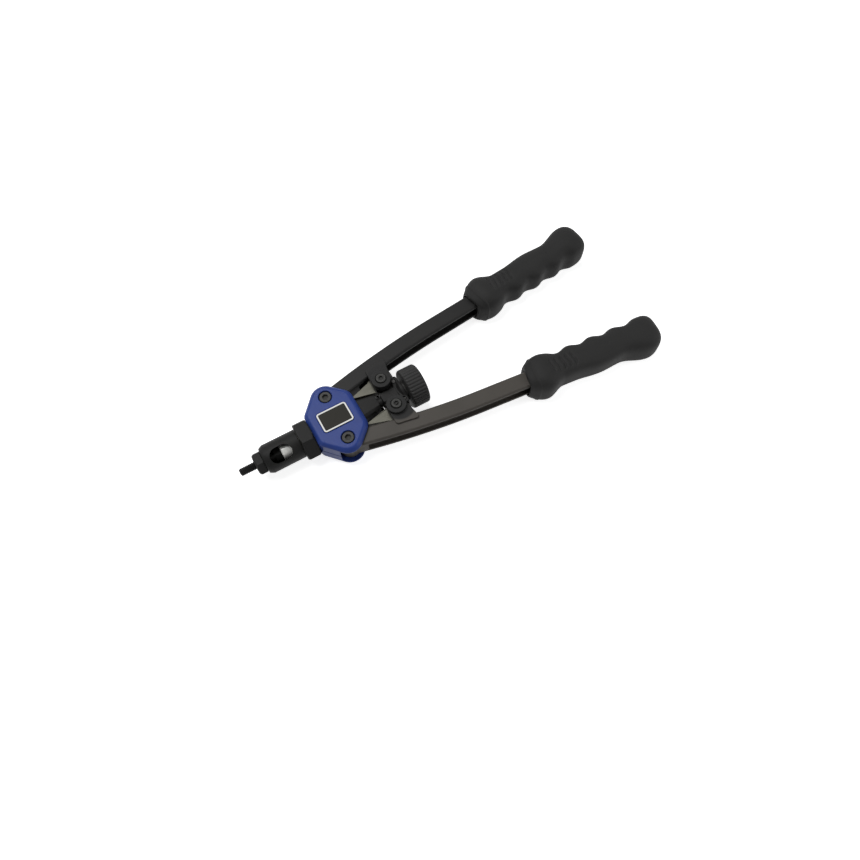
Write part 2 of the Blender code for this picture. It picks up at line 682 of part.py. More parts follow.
# Mandrel, shaft and knob, which turn as one
def make_knob_body():
    """Straight ribs round the rim, run out into rounded edges at both ends."""
    rim = []
    pitch = 2 * math.pi / KNOB_RIBS
    for i in range(KNOB_RIBS):
        for share, drop in ((0.0, 0.0), (0.42, 0.0), (0.56, 1.0), (0.86, 1.0)):
            rim.append((pitch * (i + share), KNOB_RADIUS - drop * KNOB_RIB_DEPTH))
    rings = []
    for x, limit in (
            (KNOB_FRONT, KNOB_RADIUS - KNOB_EDGE),
            (KNOB_FRONT + 0.3 * KNOB_EDGE, KNOB_RADIUS - 0.4 * KNOB_EDGE),
            (KNOB_FRONT + KNOB_EDGE, KNOB_RADIUS),
            (KNOB_BACK - KNOB_EDGE, KNOB_RADIUS),
            (KNOB_BACK - 0.3 * KNOB_EDGE, KNOB_RADIUS - 0.4 * KNOB_EDGE),
            (KNOB_BACK, KNOB_RADIUS - KNOB_EDGE)):
        radii = [(angle, min(radius, limit)) for angle, radius in rim]
        rings.append([(x, r * math.sin(angle), -r * math.cos(angle)) for angle, r in radii])
    return loft("knob", rings)


def make_spindle(black, dark, bright, steel):
    shank_back = -SLEEVE_FRONT + 8 * MM
    tip = -MANDREL_TIP
    shoulder = MANDREL_SHOULDER
    mandrel = turned("mandrel", [
        (shank_back, 0.0), (shank_back, MANDREL_SHANK_RADIUS),
        (shoulder + 1 * MM, MANDREL_SHANK_RADIUS), (shoulder + 1 * MM, MANDREL_RADIUS),
        (tip + 0.8 * MM, MANDREL_RADIUS), (tip, MANDREL_RADIUS - 0.8 * MM), (tip, 0.0),
    ], SMALL_STEPS)
    head = hexagon("head", MANDREL_HEAD_FLATS, shoulder, -SLEEVE_FRONT - TOUCH_GAP, CUTTERS)
    join(mandrel, placed(head, along_x()))

    socket_floor = -SLEEVE_BACK - SLEEVE_SOCKET_DEPTH
    mandrel_room = MANDREL_SHANK_RADIUS + TOUCH_GAP
    sleeve = turned("mandrel_sleeve", [
        (-SLEEVE_BACK, SLEEVE_BORE), (-SLEEVE_BACK, SLEEVE_RADIUS),
        (-SLEEVE_FRONT + 0.5 * MM, SLEEVE_RADIUS), (-SLEEVE_FRONT, SLEEVE_RADIUS - 0.5 * MM),
        (-SLEEVE_FRONT, mandrel_room), (shank_back + TOUCH_GAP, mandrel_room),
        (shank_back + TOUCH_GAP, SLEEVE_BORE),
    ], 32)

    shoulder_back = CROSSHEAD_FRONT - TOUCH_GAP
    tail_end = KNOB_BACK - KNOB_DISH_DEPTH - TOUCH_GAP
    screw_room = KNOB_SCREW_RADIUS + TOUCH_GAP
    screw_floor = tail_end - KNOB_SCREW_LENGTH
    shaft = turned("pull_shaft", [
        (screw_floor, 0.0), (screw_floor, screw_room), (tail_end, screw_room),
        (tail_end, SHAFT_TAIL_RADIUS), (shoulder_back, SHAFT_TAIL_RADIUS),
        (shoulder_back, SHAFT_RADIUS), (-SLEEVE_BACK + TOUCH_GAP, SHAFT_RADIUS),
        (-SLEEVE_BACK + TOUCH_GAP, SHAFT_TIP_RADIUS), (socket_floor + TOUCH_GAP, SHAFT_TIP_RADIUS),
        (socket_floor + TOUCH_GAP, 0.0),
    ], 32)

    tail_room = SHAFT_TAIL_RADIUS + TOUCH_GAP
    washer_front = CROSSHEAD_BACK + TOUCH_GAP
    washer = turned("thrust_washer", [
        (washer_front + THRUST_WASHER_THICKNESS, tail_room),
        (washer_front + THRUST_WASHER_THICKNESS, THRUST_WASHER_RADIUS),
        (washer_front, THRUST_WASHER_RADIUS), (washer_front, tail_room),
    ], 32)

    knob = make_knob_body()
    dish_floor = KNOB_BACK - KNOB_DISH_DEPTH
    dish = turned("dish", [
        (KNOB_BACK + 1 * MM, 0.0), (KNOB_BACK + 1 * MM, KNOB_DISH_RADIUS + 1 * MM),
        (dish_floor, KNOB_DISH_RADIUS - 1 * MM), (dish_floor, tail_room),
        (KNOB_FRONT - 1 * MM, tail_room), (KNOB_FRONT - 1 * MM, 0.0),
    ], 32, CUTTERS)
    cut(knob, dish)

    head_top = dish_floor + TOUCH_GAP + KNOB_SCREW_HEAD_HEIGHT
    screw = cap_screw(
        "knob_screw", KNOB_SCREW_RADIUS, KNOB_SCREW_HEAD_RADIUS, KNOB_SCREW_HEAD_HEIGHT,
        head_top, screw_floor + 1 * MM, 3.0 * MM, 1.4 * MM)
    placed(screw, along_x())

    for thing, material in (
            (mandrel, dark), (sleeve, bright), (shaft, steel), (washer, steel),
            (knob, black), (screw, black)):
        smooth(thing, 32.0)
        thing.data.materials.append(material)
    return [mandrel, sleeve, shaft, washer, knob, screw]


# Crosshead
def slide_outline():
    inner = CROSSHEAD_NOSE_HALF_WIDTH + 2 * TOUCH_GAP
    closed_x, closed_y = driving_pin(-CLOSING_ANGLE)
    open_x, open_y = driving_pin(OPENING_ANGLE)
    way = ROLLER_RADIUS + RUNNING
    outer = open_y + way + SLIDE_RIM
    return rounded([
        (SLIDE_FRONT, SLIDE_TIP_INNER, 0.3 * MM),
        (CROSSHEAD_FRONT + 0.4 * MM, SLIDE_NECK_INNER, 0.3 * MM),
        (CROSSHEAD_FRONT + 0.4 * MM, inner, 0.3 * MM),
        (SLIDE_TAIL, inner, 0.3 * MM),
        (SLIDE_TAIL, outer - 3.4 * MM, 2.5 * MM),
        (open_x + way, outer, 3.0 * MM),
        (open_x - 2 * way, outer, 2.5 * MM),
        (closed_x - 1.2 * way, closed_y + 2.4 * way, 4.0 * MM),
        (SLIDE_FRONT, SLIDE_TIP_OUTER, 0.3 * MM),
    ], 4)


def slot_outline():
    """The path of the driving pin, swept with its roller."""
    count = 8
    span = OPENING_ANGLE + CLOSING_ANGLE
    path = [driving_pin(-CLOSING_ANGLE + span * i / count) for i in range(count + 1)]
    return hull([(x, y, ROLLER_RADIUS + RUNNING) for x, y in path], 32)


def make_crosshead(black, steel):
    high = CROSSHEAD_HALF_HEIGHT
    wide = CROSSHEAD_HALF_WIDTH
    nose = CROSSHEAD_NOSE_HALF_WIDTH
    bar_back = CROSSHEAD_BACK - 0.5 * MM
    outline = rounded([
        (CROSSHEAD_FRONT, -nose, 1.2 * MM), (CROSSHEAD_STEP, -nose, 0.3 * MM),
        (CROSSHEAD_STEP, -wide, 1.5 * MM), (bar_back, -wide, 1.5 * MM),
        (bar_back, wide, 1.5 * MM), (CROSSHEAD_STEP, wide, 1.5 * MM),
        (CROSSHEAD_STEP, nose, 0.3 * MM), (CROSSHEAD_FRONT, nose, 1.2 * MM),
    ], 3)
    crosshead = prism("crosshead", outline, -high, high)
    add_bevel(crosshead, 0.6 * MM, 1, 50.0)
    boss = turned("boss", [
        (CROSSHEAD_BACK, 0.0), (CROSSHEAD_BACK, CROSSHEAD_BOSS_RADIUS),
        (CROSSHEAD_BACK - CROSSHEAD_BOSS_LENGTH, CROSSHEAD_BOSS_RADIUS),
        (CROSSHEAD_BACK - 2 * CROSSHEAD_BOSS_LENGTH, high - 0.5 * MM),
        (CROSSHEAD_BACK - 2 * CROSSHEAD_BOSS_LENGTH, 0.0),
    ], 32, CUTTERS)
    join(crosshead, boss)
    bore = post("bore", SHAFT_TAIL_RADIUS + TOUCH_GAP, 0, 100 * MM, 32, CUTTERS)
    cut(crosshead, placed(bore, along_x()))
    pieces = [crosshead]
    pin_x = (CROSSHEAD_STEP + SLIDE_TAIL) / 2
    for side, word in ((1, "left"), (-1, "right")):
        y_low, y_high = sorted((side * (nose + TOUCH_GAP), side * 2 * wide))
        pocket = box(
            "pocket", (CROSSHEAD_STEP - 1 * MM, y_low, -SLIDE_HALF_HEIGHT - TOUCH_GAP),
            (SLIDE_TAIL + TOUCH_GAP, y_high, SLIDE_HALF_HEIGHT + TOUCH_GAP), CUTTERS)
        pin_way = post("pin_way", SLIDE_PIN_RADIUS + TOUCH_GAP, -2 * high, 2 * high, collection=CUTTERS)
        shifted(pin_way, x=pin_x, y=side * SLIDE_PIN_ACROSS)
        cut(crosshead, pocket, pin_way)
        outline = slide_outline()
        holes = [slot_outline(), circle(pin_x, SLIDE_PIN_ACROSS, SLIDE_PIN_RADIUS + TOUCH_GAP, SMALL_STEPS)]
        if side < 0:
            outline = mirrored_outline(outline)
            holes = [mirrored_outline(hole) for hole in holes]
        slide = prism(
            word + "_slide_plate", outline, -SLIDE_HALF_HEIGHT, SLIDE_HALF_HEIGHT, holes)
        pin = post(word + "_slide_pin", SLIDE_PIN_RADIUS, -high, high)
        shifted(pin, x=pin_x, y=side * SLIDE_PIN_ACROSS)
        for piece in (slide, pin):
            smooth(piece).data.materials.append(steel)
            pieces.append(piece)
    smooth(crosshead).data.materials.append(black)
    return pieces


# Arms and grips, drawn about the left pivot
def make_arm(name):
    half = ARM_WIDTH / 2
    body_length = GRIP_START
    root = circle(0, 0, ARM_ROOT_RADIUS)
    section = chamfered(half, ARM_HALF_HEIGHT - BOSS_STEP, ARM_EDGE)
    stations = [body_length * i / 20 for i in range(21)]
    arm = loft(name, [[(*arm_point(s, y), z) for y, z in section] for s in stations])
    boss = prism("boss", root, -ARM_HALF_HEIGHT, ARM_HALF_HEIGHT, collection=CUTTERS)
    join(arm, boss)
    tang_half = TANG_WIDTH / 2
    tang_strip = arm_strip(body_length - 2 * MM, body_length + TANG_LENGTH, -tang_half, tang_half, 2)
    join(arm, prism("tang", tang_strip, -TANG_HALF_HEIGHT, TANG_HALF_HEIGHT, collection=CUTTERS))
    web = [(EAR_FORWARD, -EAR_INWARD, EAR_RADIUS - BOSS_STEP)]
    for distance in (EAR_PAD_FRONT, EAR_PAD_BACK):
        web.append((*arm_point(distance, -half / 2), EAR_PAD_CORNER))
    ear = circle(EAR_FORWARD, -EAR_INWARD, EAR_RADIUS, 40)
    lug_low = CROSSHEAD_HALF_HEIGHT + TOUCH_GAP
    for low, high, top in ((lug_low, EAR_TOP, EAR_WEB_TOP), (-EAR_TOP, -lug_low, -lug_low)):
        web_low = low if low > 0 else -EAR_WEB_TOP
        join(arm, prism("web", hull(web, 40), web_low, top, collection=CUTTERS))
        join(arm, prism("ear", ear, low, high, collection=CUTTERS))
    seat = post("seat", EAR_HEAD_RADIUS + TOUCH_GAP, EAR_TOP - EAR_SEAT_DEPTH, 2 * EAR_TOP, 32, CUTTERS)
    cut(arm, shifted(seat, x=EAR_FORWARD, y=-EAR_INWARD))
    past = 8 * MM
    for start, inner, outer in (
            (RECESS_START, -half - past, RECESS_DEPTH - half),
            (OUTER_RECESS_START, half - OUTER_RECESS_DEPTH, half + past)):
        band = arm_strip(start, body_length - 4 * MM, inner, outer, 16)
        recess = prism("recess", band, -RECESS_HALF_HEIGHT, RECESS_HALF_HEIGHT, collection=CUTTERS)
        cut(arm, recess)
    pivot_way = post("pivot_way", BUSH_RADIUS + RUNNING, -THROUGH, THROUGH, 32, CUTTERS)
    pin_way = post("pin_way", EAR_SCREW_RADIUS + TOUCH_GAP, -THROUGH, THROUGH, collection=CUTTERS)
    shifted(pin_way, x=EAR_FORWARD, y=-EAR_INWARD)
    return smooth(cut(arm, pivot_way, pin_way), 32.0)


def bump(position, centre, length):
    """A smooth hump of height 1 about a centre, 0 past half its length."""
    share = abs(position - centre) / (length / 2)
    return 0.5 + 0.5 * math.cos(math.pi * share) if share < 1.0 else 0.0


def grip_widths(s):
    """Half widths towards the fingers and the palm, and half height, at s."""
    flange = bump(s, FLANGE_CENTRE, FLANGE_LENGTH)
    fingers = FINGER_HALF_WIDTH + FINGER_FLANGE * flange
    palm = PALM_HALF_WIDTH + PALM_FLANGE * flange
    for i in range(FINGER_COUNT):
        fingers -= FINGER_DEPTH * bump(s, FINGER_FIRST + i * FINGER_PITCH, FINGER_PITCH)
    palm += PALM_SWELL * bump(s, PALM_SWELL_CENTRE, PALM_SWELL_LENGTH)
    end = bump(s, GRIP_END_CENTRE, GRIP_END_LENGTH)
    palm += GRIP_END_BULGE * end
    height = GRIP_WAIST_HALF_HEIGHT
    height += (GRIP_HALF_HEIGHT - GRIP_WAIST_HALF_HEIGHT) * max(flange, end)
    return fingers, palm, height


def end_rounding(s):
    """Scale of a section near the two ends, which are rounded off."""
    front_round = 7.0 * MM
    scale = 1.0
    if s < front_round:
        share = 1.0 - s / front_round
        scale = 0.8 + 0.2 * math.sqrt(max(0.0, 1.0 - share * share))
    left = GRIP_LENGTH - s
    if left < GRIP_END_ROUND:
        share = 1.0 - left / GRIP_END_ROUND
        scale = 0.30 + 0.70 * math.sqrt(max(0.0, 1.0 - share * share))
    return scale


def grip_section(s):
    """One ring of the grip at distance s from its flange."""
    fingers, palm, height = grip_widths(s)
    scale = end_rounding(s)
    power = 2.0 / GRIP_SQUARENESS
    ring_points = []
    for i in range(GRIP_SIDES):
        angle = 2 * math.pi * (i + 0.5) / GRIP_SIDES
        c, t = math.cos(angle), math.sin(angle)
        across = math.copysign(abs(c) ** power, c) * (palm if c > 0 else fingers) * scale
        up = math.copysign(abs(t) ** power, t) * height * scale
        x, y = arm_point(GRIP_START + s, across)
        ring_points.append((x, y, up))
    return ring_points


def grip_stations():
    """Distances of the rings: close together at the rounded ends."""
    stations = [0.0, 0.6 * MM, 1.6 * MM]
    last = GRIP_LENGTH - GRIP_END_ROUND
    count = GRIP_RINGS - 9
    stations += [3.0 * MM + (last - 3.0 * MM) * i / (count - 1) for i in range(count)]
    for share in (0.35, 0.6, 0.8, 0.92, 1.0):
        stations.append(last + GRIP_END_ROUND * share)
    return stations


def make_grip(name):
    grip = loft(name, [grip_section(s) for s in grip_stations()])
    room = TANG_WIDTH / 2 + TOUCH_GAP
    way = arm_strip(GRIP_START - 5 * MM, GRIP_START + TANG_LENGTH + TOUCH_GAP, -room, room, 2)
    high = TANG_HALF_HEIGHT + TOUCH_GAP
    cut(grip, prism("way", way, -high, high, collection=CUTTERS))
    mouth = ARM_WIDTH / 2 + TOUCH_GAP
    deep = arm_strip(GRIP_START - 5 * MM, GRIP_START + TOUCH_GAP, -mouth, mouth, 2)
    tall = ARM_HALF_HEIGHT + TOUCH_GAP
    cut(grip, prism("mouth", deep, -tall, tall, collection=CUTTERS))
    return smooth(grip, 50.0)


def mirrored(thing, name):
    """The same piece for the right side."""
    copy = new_object(name, thing.data.copy())
    copy.data.transform(Matrix.Diagonal((1.0, -1.0, 1.0, 1.0)))
    copy.data.flip_normals()
    return copy


def make_handles(black, rubber, steel):
    arm = make_arm("left_arm")
    grip = make_grip("left_grip")
    lug_low = CROSSHEAD_HALF_HEIGHT + TOUCH_GAP
    head_top = EAR_TOP - EAR_SEAT_DEPTH + TOUCH_GAP + EAR_HEAD_HEIGHT
    nut_bottom = -EAR_TOP - TOUCH_GAP - EAR_NUT_HEIGHT
    screw = cap_screw(
        "left_ear_screw", EAR_SCREW_RADIUS, EAR_HEAD_RADIUS, EAR_HEAD_HEIGHT,
        head_top, nut_bottom, EAR_SOCKET_FLATS, 0.7 * EAR_HEAD_HEIGHT)
    roller_high = lug_low - 2 * TOUCH_GAP
    bore = EAR_SCREW_RADIUS + TOUCH_GAP
    roller = ring("left_ear_roller", ROLLER_RADIUS, bore, -roller_high, roller_high)
    nut = hex_nut("left_ear_nut", EAR_NUT_FLATS, bore, nut_bottom, nut_bottom + EAR_NUT_HEIGHT)
    for piece in (screw, roller, nut):
        shifted(smooth(piece), x=EAR_FORWARD, y=-EAR_INWARD)
    pieces = []
    for piece, material in (
            (arm, black), (grip, rubber), (screw, black), (roller, steel), (nut, black)):
        piece.data.materials.append(material)
        twin = mirrored(piece, piece.name.replace("left", "right"))
        piece.location.y = PIVOT_HALF_SPACING
        twin.location.y = -PIVOT_HALF_SPACING
        pieces += [piece, twin]
    return pieces


def stand_on_floor(pieces):
    """Put the origin under the middle of the tool's box."""
    bpy.context.view_layer.update()
    corners = [piece.matrix_world @ vertex.co for piece in pieces for vertex in piece.data.vertices]
    low = Vector(min(corner[i] for corner in corners) for i in range(3))
    high = Vector(max(corner[i] for corner in corners) for i in range(3))
    for piece in pieces:
        piece.location -= Vector(((low.x + high.x) / 2, (low.y + high.y) / 2, low.z))


start_scene()
BLUE_PAINT = finish("blue_paint", (0.035, 0.075, 0.42), 0.3, 0.0)
BLACK_STEEL = finish("black_steel", (0.045, 0.045, 0.043), 0.42, 0.6)
BLACK_OXIDE = finish("black_oxide", (0.03, 0.03, 0.03), 0.5, 0.6)
BARE_STEEL = finish("bare_steel", (0.36, 0.35, 0.31), 0.4, 0.9)
BRIGHT_STEEL = finish("bright_steel", (0.72, 0.72, 0.70), 0.22, 1.0)
RUBBER = finish("grip_rubber", (0.035, 0.035, 0.036), 0.7, 0.0)
LABEL = finish("label", (0.02, 0.02, 0.015), 0.4, 0.0)

tool = []
tool += make_head(BLUE_PAINT, LABEL)
tool += make_pivots(BLACK_OXIDE, BARE_STEEL)
tool += make_nose(BLACK_STEEL, BLACK_OXIDE, BARE_STEEL)
tool += make_spindle(BLACK_STEEL, BLACK_OXIDE, BRIGHT_STEEL, BARE_STEEL)
tool += make_crosshead(BLACK_STEEL, BARE_STEEL)
tool += make_handles(BLACK_STEEL, RUBBER, BARE_STEEL)
stand_on_floor(tool)
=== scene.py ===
"""Rivet nut tool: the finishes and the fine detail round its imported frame."""
import json
import math

import bmesh
import bpy
from mathutils import Matrix, Vector


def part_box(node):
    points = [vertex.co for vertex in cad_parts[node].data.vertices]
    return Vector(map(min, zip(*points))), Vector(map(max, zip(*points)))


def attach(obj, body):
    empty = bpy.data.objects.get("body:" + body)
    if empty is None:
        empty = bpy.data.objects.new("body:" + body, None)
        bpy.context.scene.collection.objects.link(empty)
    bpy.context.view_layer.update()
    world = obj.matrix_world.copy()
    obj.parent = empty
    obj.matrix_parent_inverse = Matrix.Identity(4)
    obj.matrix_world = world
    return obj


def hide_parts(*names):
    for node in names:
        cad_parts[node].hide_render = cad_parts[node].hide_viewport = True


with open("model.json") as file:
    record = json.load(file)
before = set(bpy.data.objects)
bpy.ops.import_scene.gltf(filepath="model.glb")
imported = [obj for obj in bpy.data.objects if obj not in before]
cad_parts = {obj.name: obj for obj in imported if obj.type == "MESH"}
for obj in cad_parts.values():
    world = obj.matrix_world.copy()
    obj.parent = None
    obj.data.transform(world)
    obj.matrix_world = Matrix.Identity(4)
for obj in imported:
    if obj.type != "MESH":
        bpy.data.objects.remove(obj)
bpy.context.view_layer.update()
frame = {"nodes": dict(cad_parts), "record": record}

# The camera stands over the nose, high above the tool, and looks down at its
# axis. Every place below is worked out from the left pivot and the axis.
MM = 0.001
SIDES = (("left", 1.0), ("right", -1.0))
TARGET = (57.42 * MM, -39.16 * MM)
DISTANCE = 487.14 * MM
LOOK_AZIMUTH = math.radians(-29.93)
LOOK_ELEVATION = math.radians(65.24)
LENS = 27.05

bush = [Vector(corner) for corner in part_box("left_pivot_bush")]
pivot = (bush[0] + bush[1]) / 2
PIVOT_X, PIVOT_Y, AXIS_HEIGHT = pivot

back = Vector((
    math.sin(LOOK_AZIMUTH) * math.cos(LOOK_ELEVATION),
    -math.cos(LOOK_AZIMUTH) * math.cos(LOOK_ELEVATION),
    math.sin(LOOK_ELEVATION)))
camera_data = bpy.data.cameras.new("camera")
camera_data.lens = LENS
camera_data.sensor_width = 36.0
camera = bpy.data.objects.new("camera", camera_data)
camera.location = Vector((PIVOT_X + TARGET[0], TARGET[1], AXIS_HEIGHT)) + DISTANCE * back
camera.rotation_euler = back.to_track_quat("Z", "Y").to_euler()
bpy.context.scene.collection.objects.link(camera)
bpy.context.scene.camera = camera
bpy.context.scene.view_settings.view_transform = "Standard"


# The studio: a white floor and sky, one large soft lamp overhead and a weaker
# one from the side. The floor shows white to the camera but keeps the shadow.
class Signal:
    """A node's output, on which Python's own operators add Math nodes."""

    def __init__(self, tree, socket):
        self.tree = tree
        self.socket = socket

    def maths(self, operation, *values):
        return self.tree.add("ShaderNodeMath", {"operation": operation}, dict(enumerate(values)))

    def __add__(self, other):
        return self.maths("ADD", self, other)

    def __radd__(self, other):
        return self.maths("ADD", other, self)

    def __sub__(self, other):
        return self.maths("SUBTRACT", self, other)

    def __rsub__(self, other):
        return self.maths("SUBTRACT", other, self)

    def __mul__(self, other):
        return self.maths("MULTIPLY", self, other)

    def __rmul__(self, other):
        return self.maths("MULTIPLY", other, self)

    def __truediv__(self, other):
        return self.maths("DIVIDE", self, other)

    def __abs__(self):
        return self.maths("ABSOLUTE", self)

    def at_least(self, other):
        return self.maths("MAXIMUM", self, other)

    def hypotenuse(self, other):
        """The length of a line from its reach one way and the other."""
        square = self * self + other * other
        return square.maths("SQRT", square)

    def between(self, start, end):
        """0 where the value is at the start, 1 at the end, in a straight line."""
        return self.tree.add("ShaderNodeMapRange", {"clamp": True}, {0: self, 1: start, 2: end})

    def above(self, edge, softness):
        """1 where the value is above an edge, 0 below it, blended between."""
        return self.between(edge - softness, edge + softness)


class Tree:
    """A node tree that takes a node's type, settings and sockets at once."""

    def __init__(self, tree):
        self.tree = tree

    def add(self, kind, settings, sockets, output=0):
        node = self.tree.nodes.new(kind)
        for name, value in settings.items():
            setattr(node, name, value)
        for key, value in sockets.items():
            self.feed(node.inputs[key], value)
        return Signal(self, node.outputs[output])

    def feed(self, socket, value):
        if isinstance(value, Signal):
            self.tree.links.new(value.socket, socket)
        else:
            socket.default_value = value

    def parts(self, vector):
        """The three numbers of a vector."""
        first = self.add("ShaderNodeSeparateXYZ", {}, {0: vector})
        return [Signal(self, out) for out in first.socket.node.outputs]

    def backdrop_rays(self):
        """1 for the rays that show the backdrop, 0 for those that light things."""
        outputs = self.add("ShaderNodeLightPath", {}, {}).socket.node.outputs
        seen = Signal(self, outputs["Is Camera Ray"])
        for name in ("Is Glossy Ray", "Is Transmission Ray"):
            seen = seen.at_least(Signal(self, outputs[name]))
        return seen


class Finish(Tree):
    """A material, with the nodes that vary it over a surface."""

    def __init__(self, name, **constants):
        self.material = bpy.data.materials.new(name)
        self.material.use_nodes = True
        super().__init__(self.material.node_tree)
        self.shader = self.tree.nodes["Principled BSDF"]
        for socket, value in constants.items():
            self.shader.inputs[socket.replace("_", " ")].default_value = value

    def set(self, **values):
        for socket, value in values.items():
            self.feed(self.shader.inputs[socket.replace("_", " ")], value)

    def place(self):
        return self.add("ShaderNodeTexCoord", {}, {}, "Object")

    def noise(self, scale, detail=3.0, stretch=(1.0, 1.0, 1.0)):
        where = self.add("ShaderNodeMapping", {}, {"Vector": self.place(), "Scale": stretch})
        sockets = {"Vector": where, "Scale": scale, "Detail": detail}
        return self.add("ShaderNodeTexNoise", {}, sockets, "Fac")

    def blend(self, factor, first, second):
        return self.add("ShaderNodeMix", {"data_type": "RGBA"}, {0: factor, 6: first, 7: second}, 2)

    def colour(self, factor, first, second):
        self.set(Base_Color=self.blend(factor, first, second))

    def bump(self, height, distance, strength=1.0):
        relief = {"Strength": strength, "Distance": distance, "Height": height}
        self.set(Normal=self.add("ShaderNodeBump", {}, relief))


def on_stage(name, corners, finish):
    mesh = bpy.data.meshes.new(name)
    mesh.from_pydata(corners, [], [range(len(corners))])
    mesh.materials.append(finish.material)
    thing = bpy.data.objects.new(name, mesh)
    bpy.context.scene.collection.objects.link(thing)


FLOOR_REACH = 6.0
FLOOR_COLOUR = (0.80, 0.80, 0.80, 1.0)
FLOOR_GLOW = (0.82, 0.82, 0.82, 1.0)
SKY_LEVEL = 0.03
WHITE = (1.0, 1.0, 1.0, 1.0)
BLACK = (0.0, 0.0, 0.0, 1.0)

white_floor = Finish("white_floor", Roughness=0.9, Specular_IOR_Level=0.0, Base_Color=FLOOR_COLOUR)
glow = white_floor.blend(white_floor.backdrop_rays(), BLACK, FLOOR_GLOW)
white_floor.set(Emission_Color=glow, Emission_Strength=1.0)
far = FLOOR_REACH
on_stage("floor", [(-far, -far, 0), (far, -far, 0), (far, far, 0), (-far, far, 0)], white_floor)

world = bpy.data.worlds.new("sky")
world.use_nodes = True
bpy.context.scene.world = world
sky = Tree(world.node_tree)
backdrop = world.node_tree.nodes["Background"]
backdrop.inputs["Color"].default_value = WHITE
sky.feed(backdrop.inputs["Strength"], SKY_LEVEL + (1.0 - SKY_LEVEL) * sky.backdrop_rays())


def add_lamp(name, place, size, power):
    """A square lamp in metres and watts, aimed at the scene's origin."""
    data = bpy.data.lights.new(name, "AREA")
    data.shape = "SQUARE"
    data.size = size
    data.energy = power
    lamp = bpy.data.objects.new(name, data)
    turn = (-Vector(place)).to_track_quat("-Z", "Y")
    lamp.matrix_world = Matrix.Translation(place) @ turn.to_matrix().to_4x4()
    bpy.context.scene.collection.objects.link(lamp)


add_lamp("overhead", (-0.25, 0.35, 0.9), size=0.7, power=9.0)
add_lamp("side", (0.7, -0.6, 0.5), size=0.5, power=3.0)

# Head covers: two castings, clamped round the nose block and both arms. They
# are sprayed a satin royal blue, with the casting's skin just showing.
BODY_OF = {
    node: body for body, nodes in frame["record"]["behaviour"]["bodies"].items() for node in nodes}
SHARP = math.radians(30)
FLAT = math.radians(0.5)
WELD = 0.002 * MM


def fitted(name, mesh, finish, node):
    """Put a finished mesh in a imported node's place, on the node's body."""
    mesh.materials.clear()
    mesh.materials.append(finish.material)
    mesh.name = name
    thing = bpy.data.objects.new(name, mesh)
    bpy.context.scene.collection.objects.link(thing)
    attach(thing, BODY_OF[node])
    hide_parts(node)
    return thing


def evaluated(thing):
    """The object's mesh with its modifiers worked in; the object goes."""
    graph = bpy.context.evaluated_depsgraph_get()
    mesh = bpy.data.meshes.new_from_object(thing.evaluated_get(graph), depsgraph=graph)
    bpy.data.objects.remove(thing)
    return mesh


def softened(node, finish, width, merge=0.02, added=(), cut=(), reshape=None):
    """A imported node's shape with its sharp edges broken to a width in mm.

    Bodies are added and cut first. Points nearer than the merge distance in mm
    are then joined, and reshape may move what is left.
    """
    mesh = frame["nodes"][node].data.copy()
    if "custom_normal" in mesh.attributes:
        mesh.attributes.remove(mesh.attributes["custom_normal"])
    form = bmesh.new()
    form.from_mesh(mesh)
    bmesh.ops.remove_doubles(form, verts=form.verts, dist=WELD)
    form.to_mesh(mesh)
    form.free()
    thing = bpy.data.objects.new(node + "_shape", mesh)
    bpy.context.scene.collection.objects.link(thing)
    tools = []
    for operation, meshes in (("UNION", added), ("DIFFERENCE", cut)):
        for part in meshes:
            tools.append(bpy.data.objects.new("tool", part))
            bpy.context.scene.collection.objects.link(tools[-1])
            step = thing.modifiers.new("step", "BOOLEAN")
            step.operation = operation
            step.object = tools[-1]
    mesh = evaluated(thing)
    for tool in tools:
        bpy.data.objects.remove(tool)
    form = bmesh.new()
    form.from_mesh(mesh)
    bmesh.ops.dissolve_limit(form, angle_limit=FLAT, verts=form.verts, edges=form.edges)
    bmesh.ops.remove_doubles(form, verts=form.verts, dist=merge * MM)
    if reshape:
        for vertex in form.verts:
            reshape(vertex.co)
    form.to_mesh(mesh)
    form.free()
    mesh.shade_smooth()
    thing = bpy.data.objects.new(node + "_shape", mesh)
    bpy.context.scene.collection.objects.link(thing)
    edge = thing.modifiers.new("edge", "BEVEL")
    edge.width = width * MM
    edge.segments = 2
    edge.limit_method = "ANGLE"
    edge.angle_limit = SHARP
    edge.use_clamp_overlap = False
    level = thing.modifiers.new("level", "WEIGHTED_NORMAL")
    level.keep_sharp = True
    return fitted(node + "_finished", evaluated(thing), finish, node)


def outward(form, name):
    """The form as a mesh, with its faces turned outwards; the form goes."""
    bmesh.ops.recalc_face_normals(form, faces=form.faces)
    mesh = bpy.data.meshes.new(name)
    form.to_mesh(mesh)
    form.free()
    return mesh


def skin_over(form, rows):
    """Faces between rows of equally many vertices, closed at both ends."""
    for near, far_row in zip(rows, rows[1:]):
        for i, corner in enumerate(near):
            j = (i + 1) % len(near)
            form.faces.new((corner, near[j], far_row[j], far_row[i]))
    form.faces.new(rows[0])
    form.faces.new(rows[-1])


def block(name, sections):
    """A closed body skinned over sections of equally many points, in metres."""
    form = bmesh.new()
    skin_over(form, [[form.verts.new(point) for point in section] for section in sections])
    return outward(form, name)


blue = Finish("blue_paint", Coat_Weight=0.04, Coat_Roughness=0.25, Specular_IOR_Level=0.14)
mottle = blue.noise(90.0)
skin = blue.noise(900.0, 2.0)
blue.colour(mottle, (0.015, 0.033, 0.17, 1.0), (0.026, 0.055, 0.235, 1.0))
blue.set(Roughness=0.3 + 0.2 * mottle)
blue.bump(skin + 2.0 * mottle, 0.05 * MM, 0.6)
for node in ("head_upper_cover", "head_lower_cover"):
    softened(node, blue, 0.5)

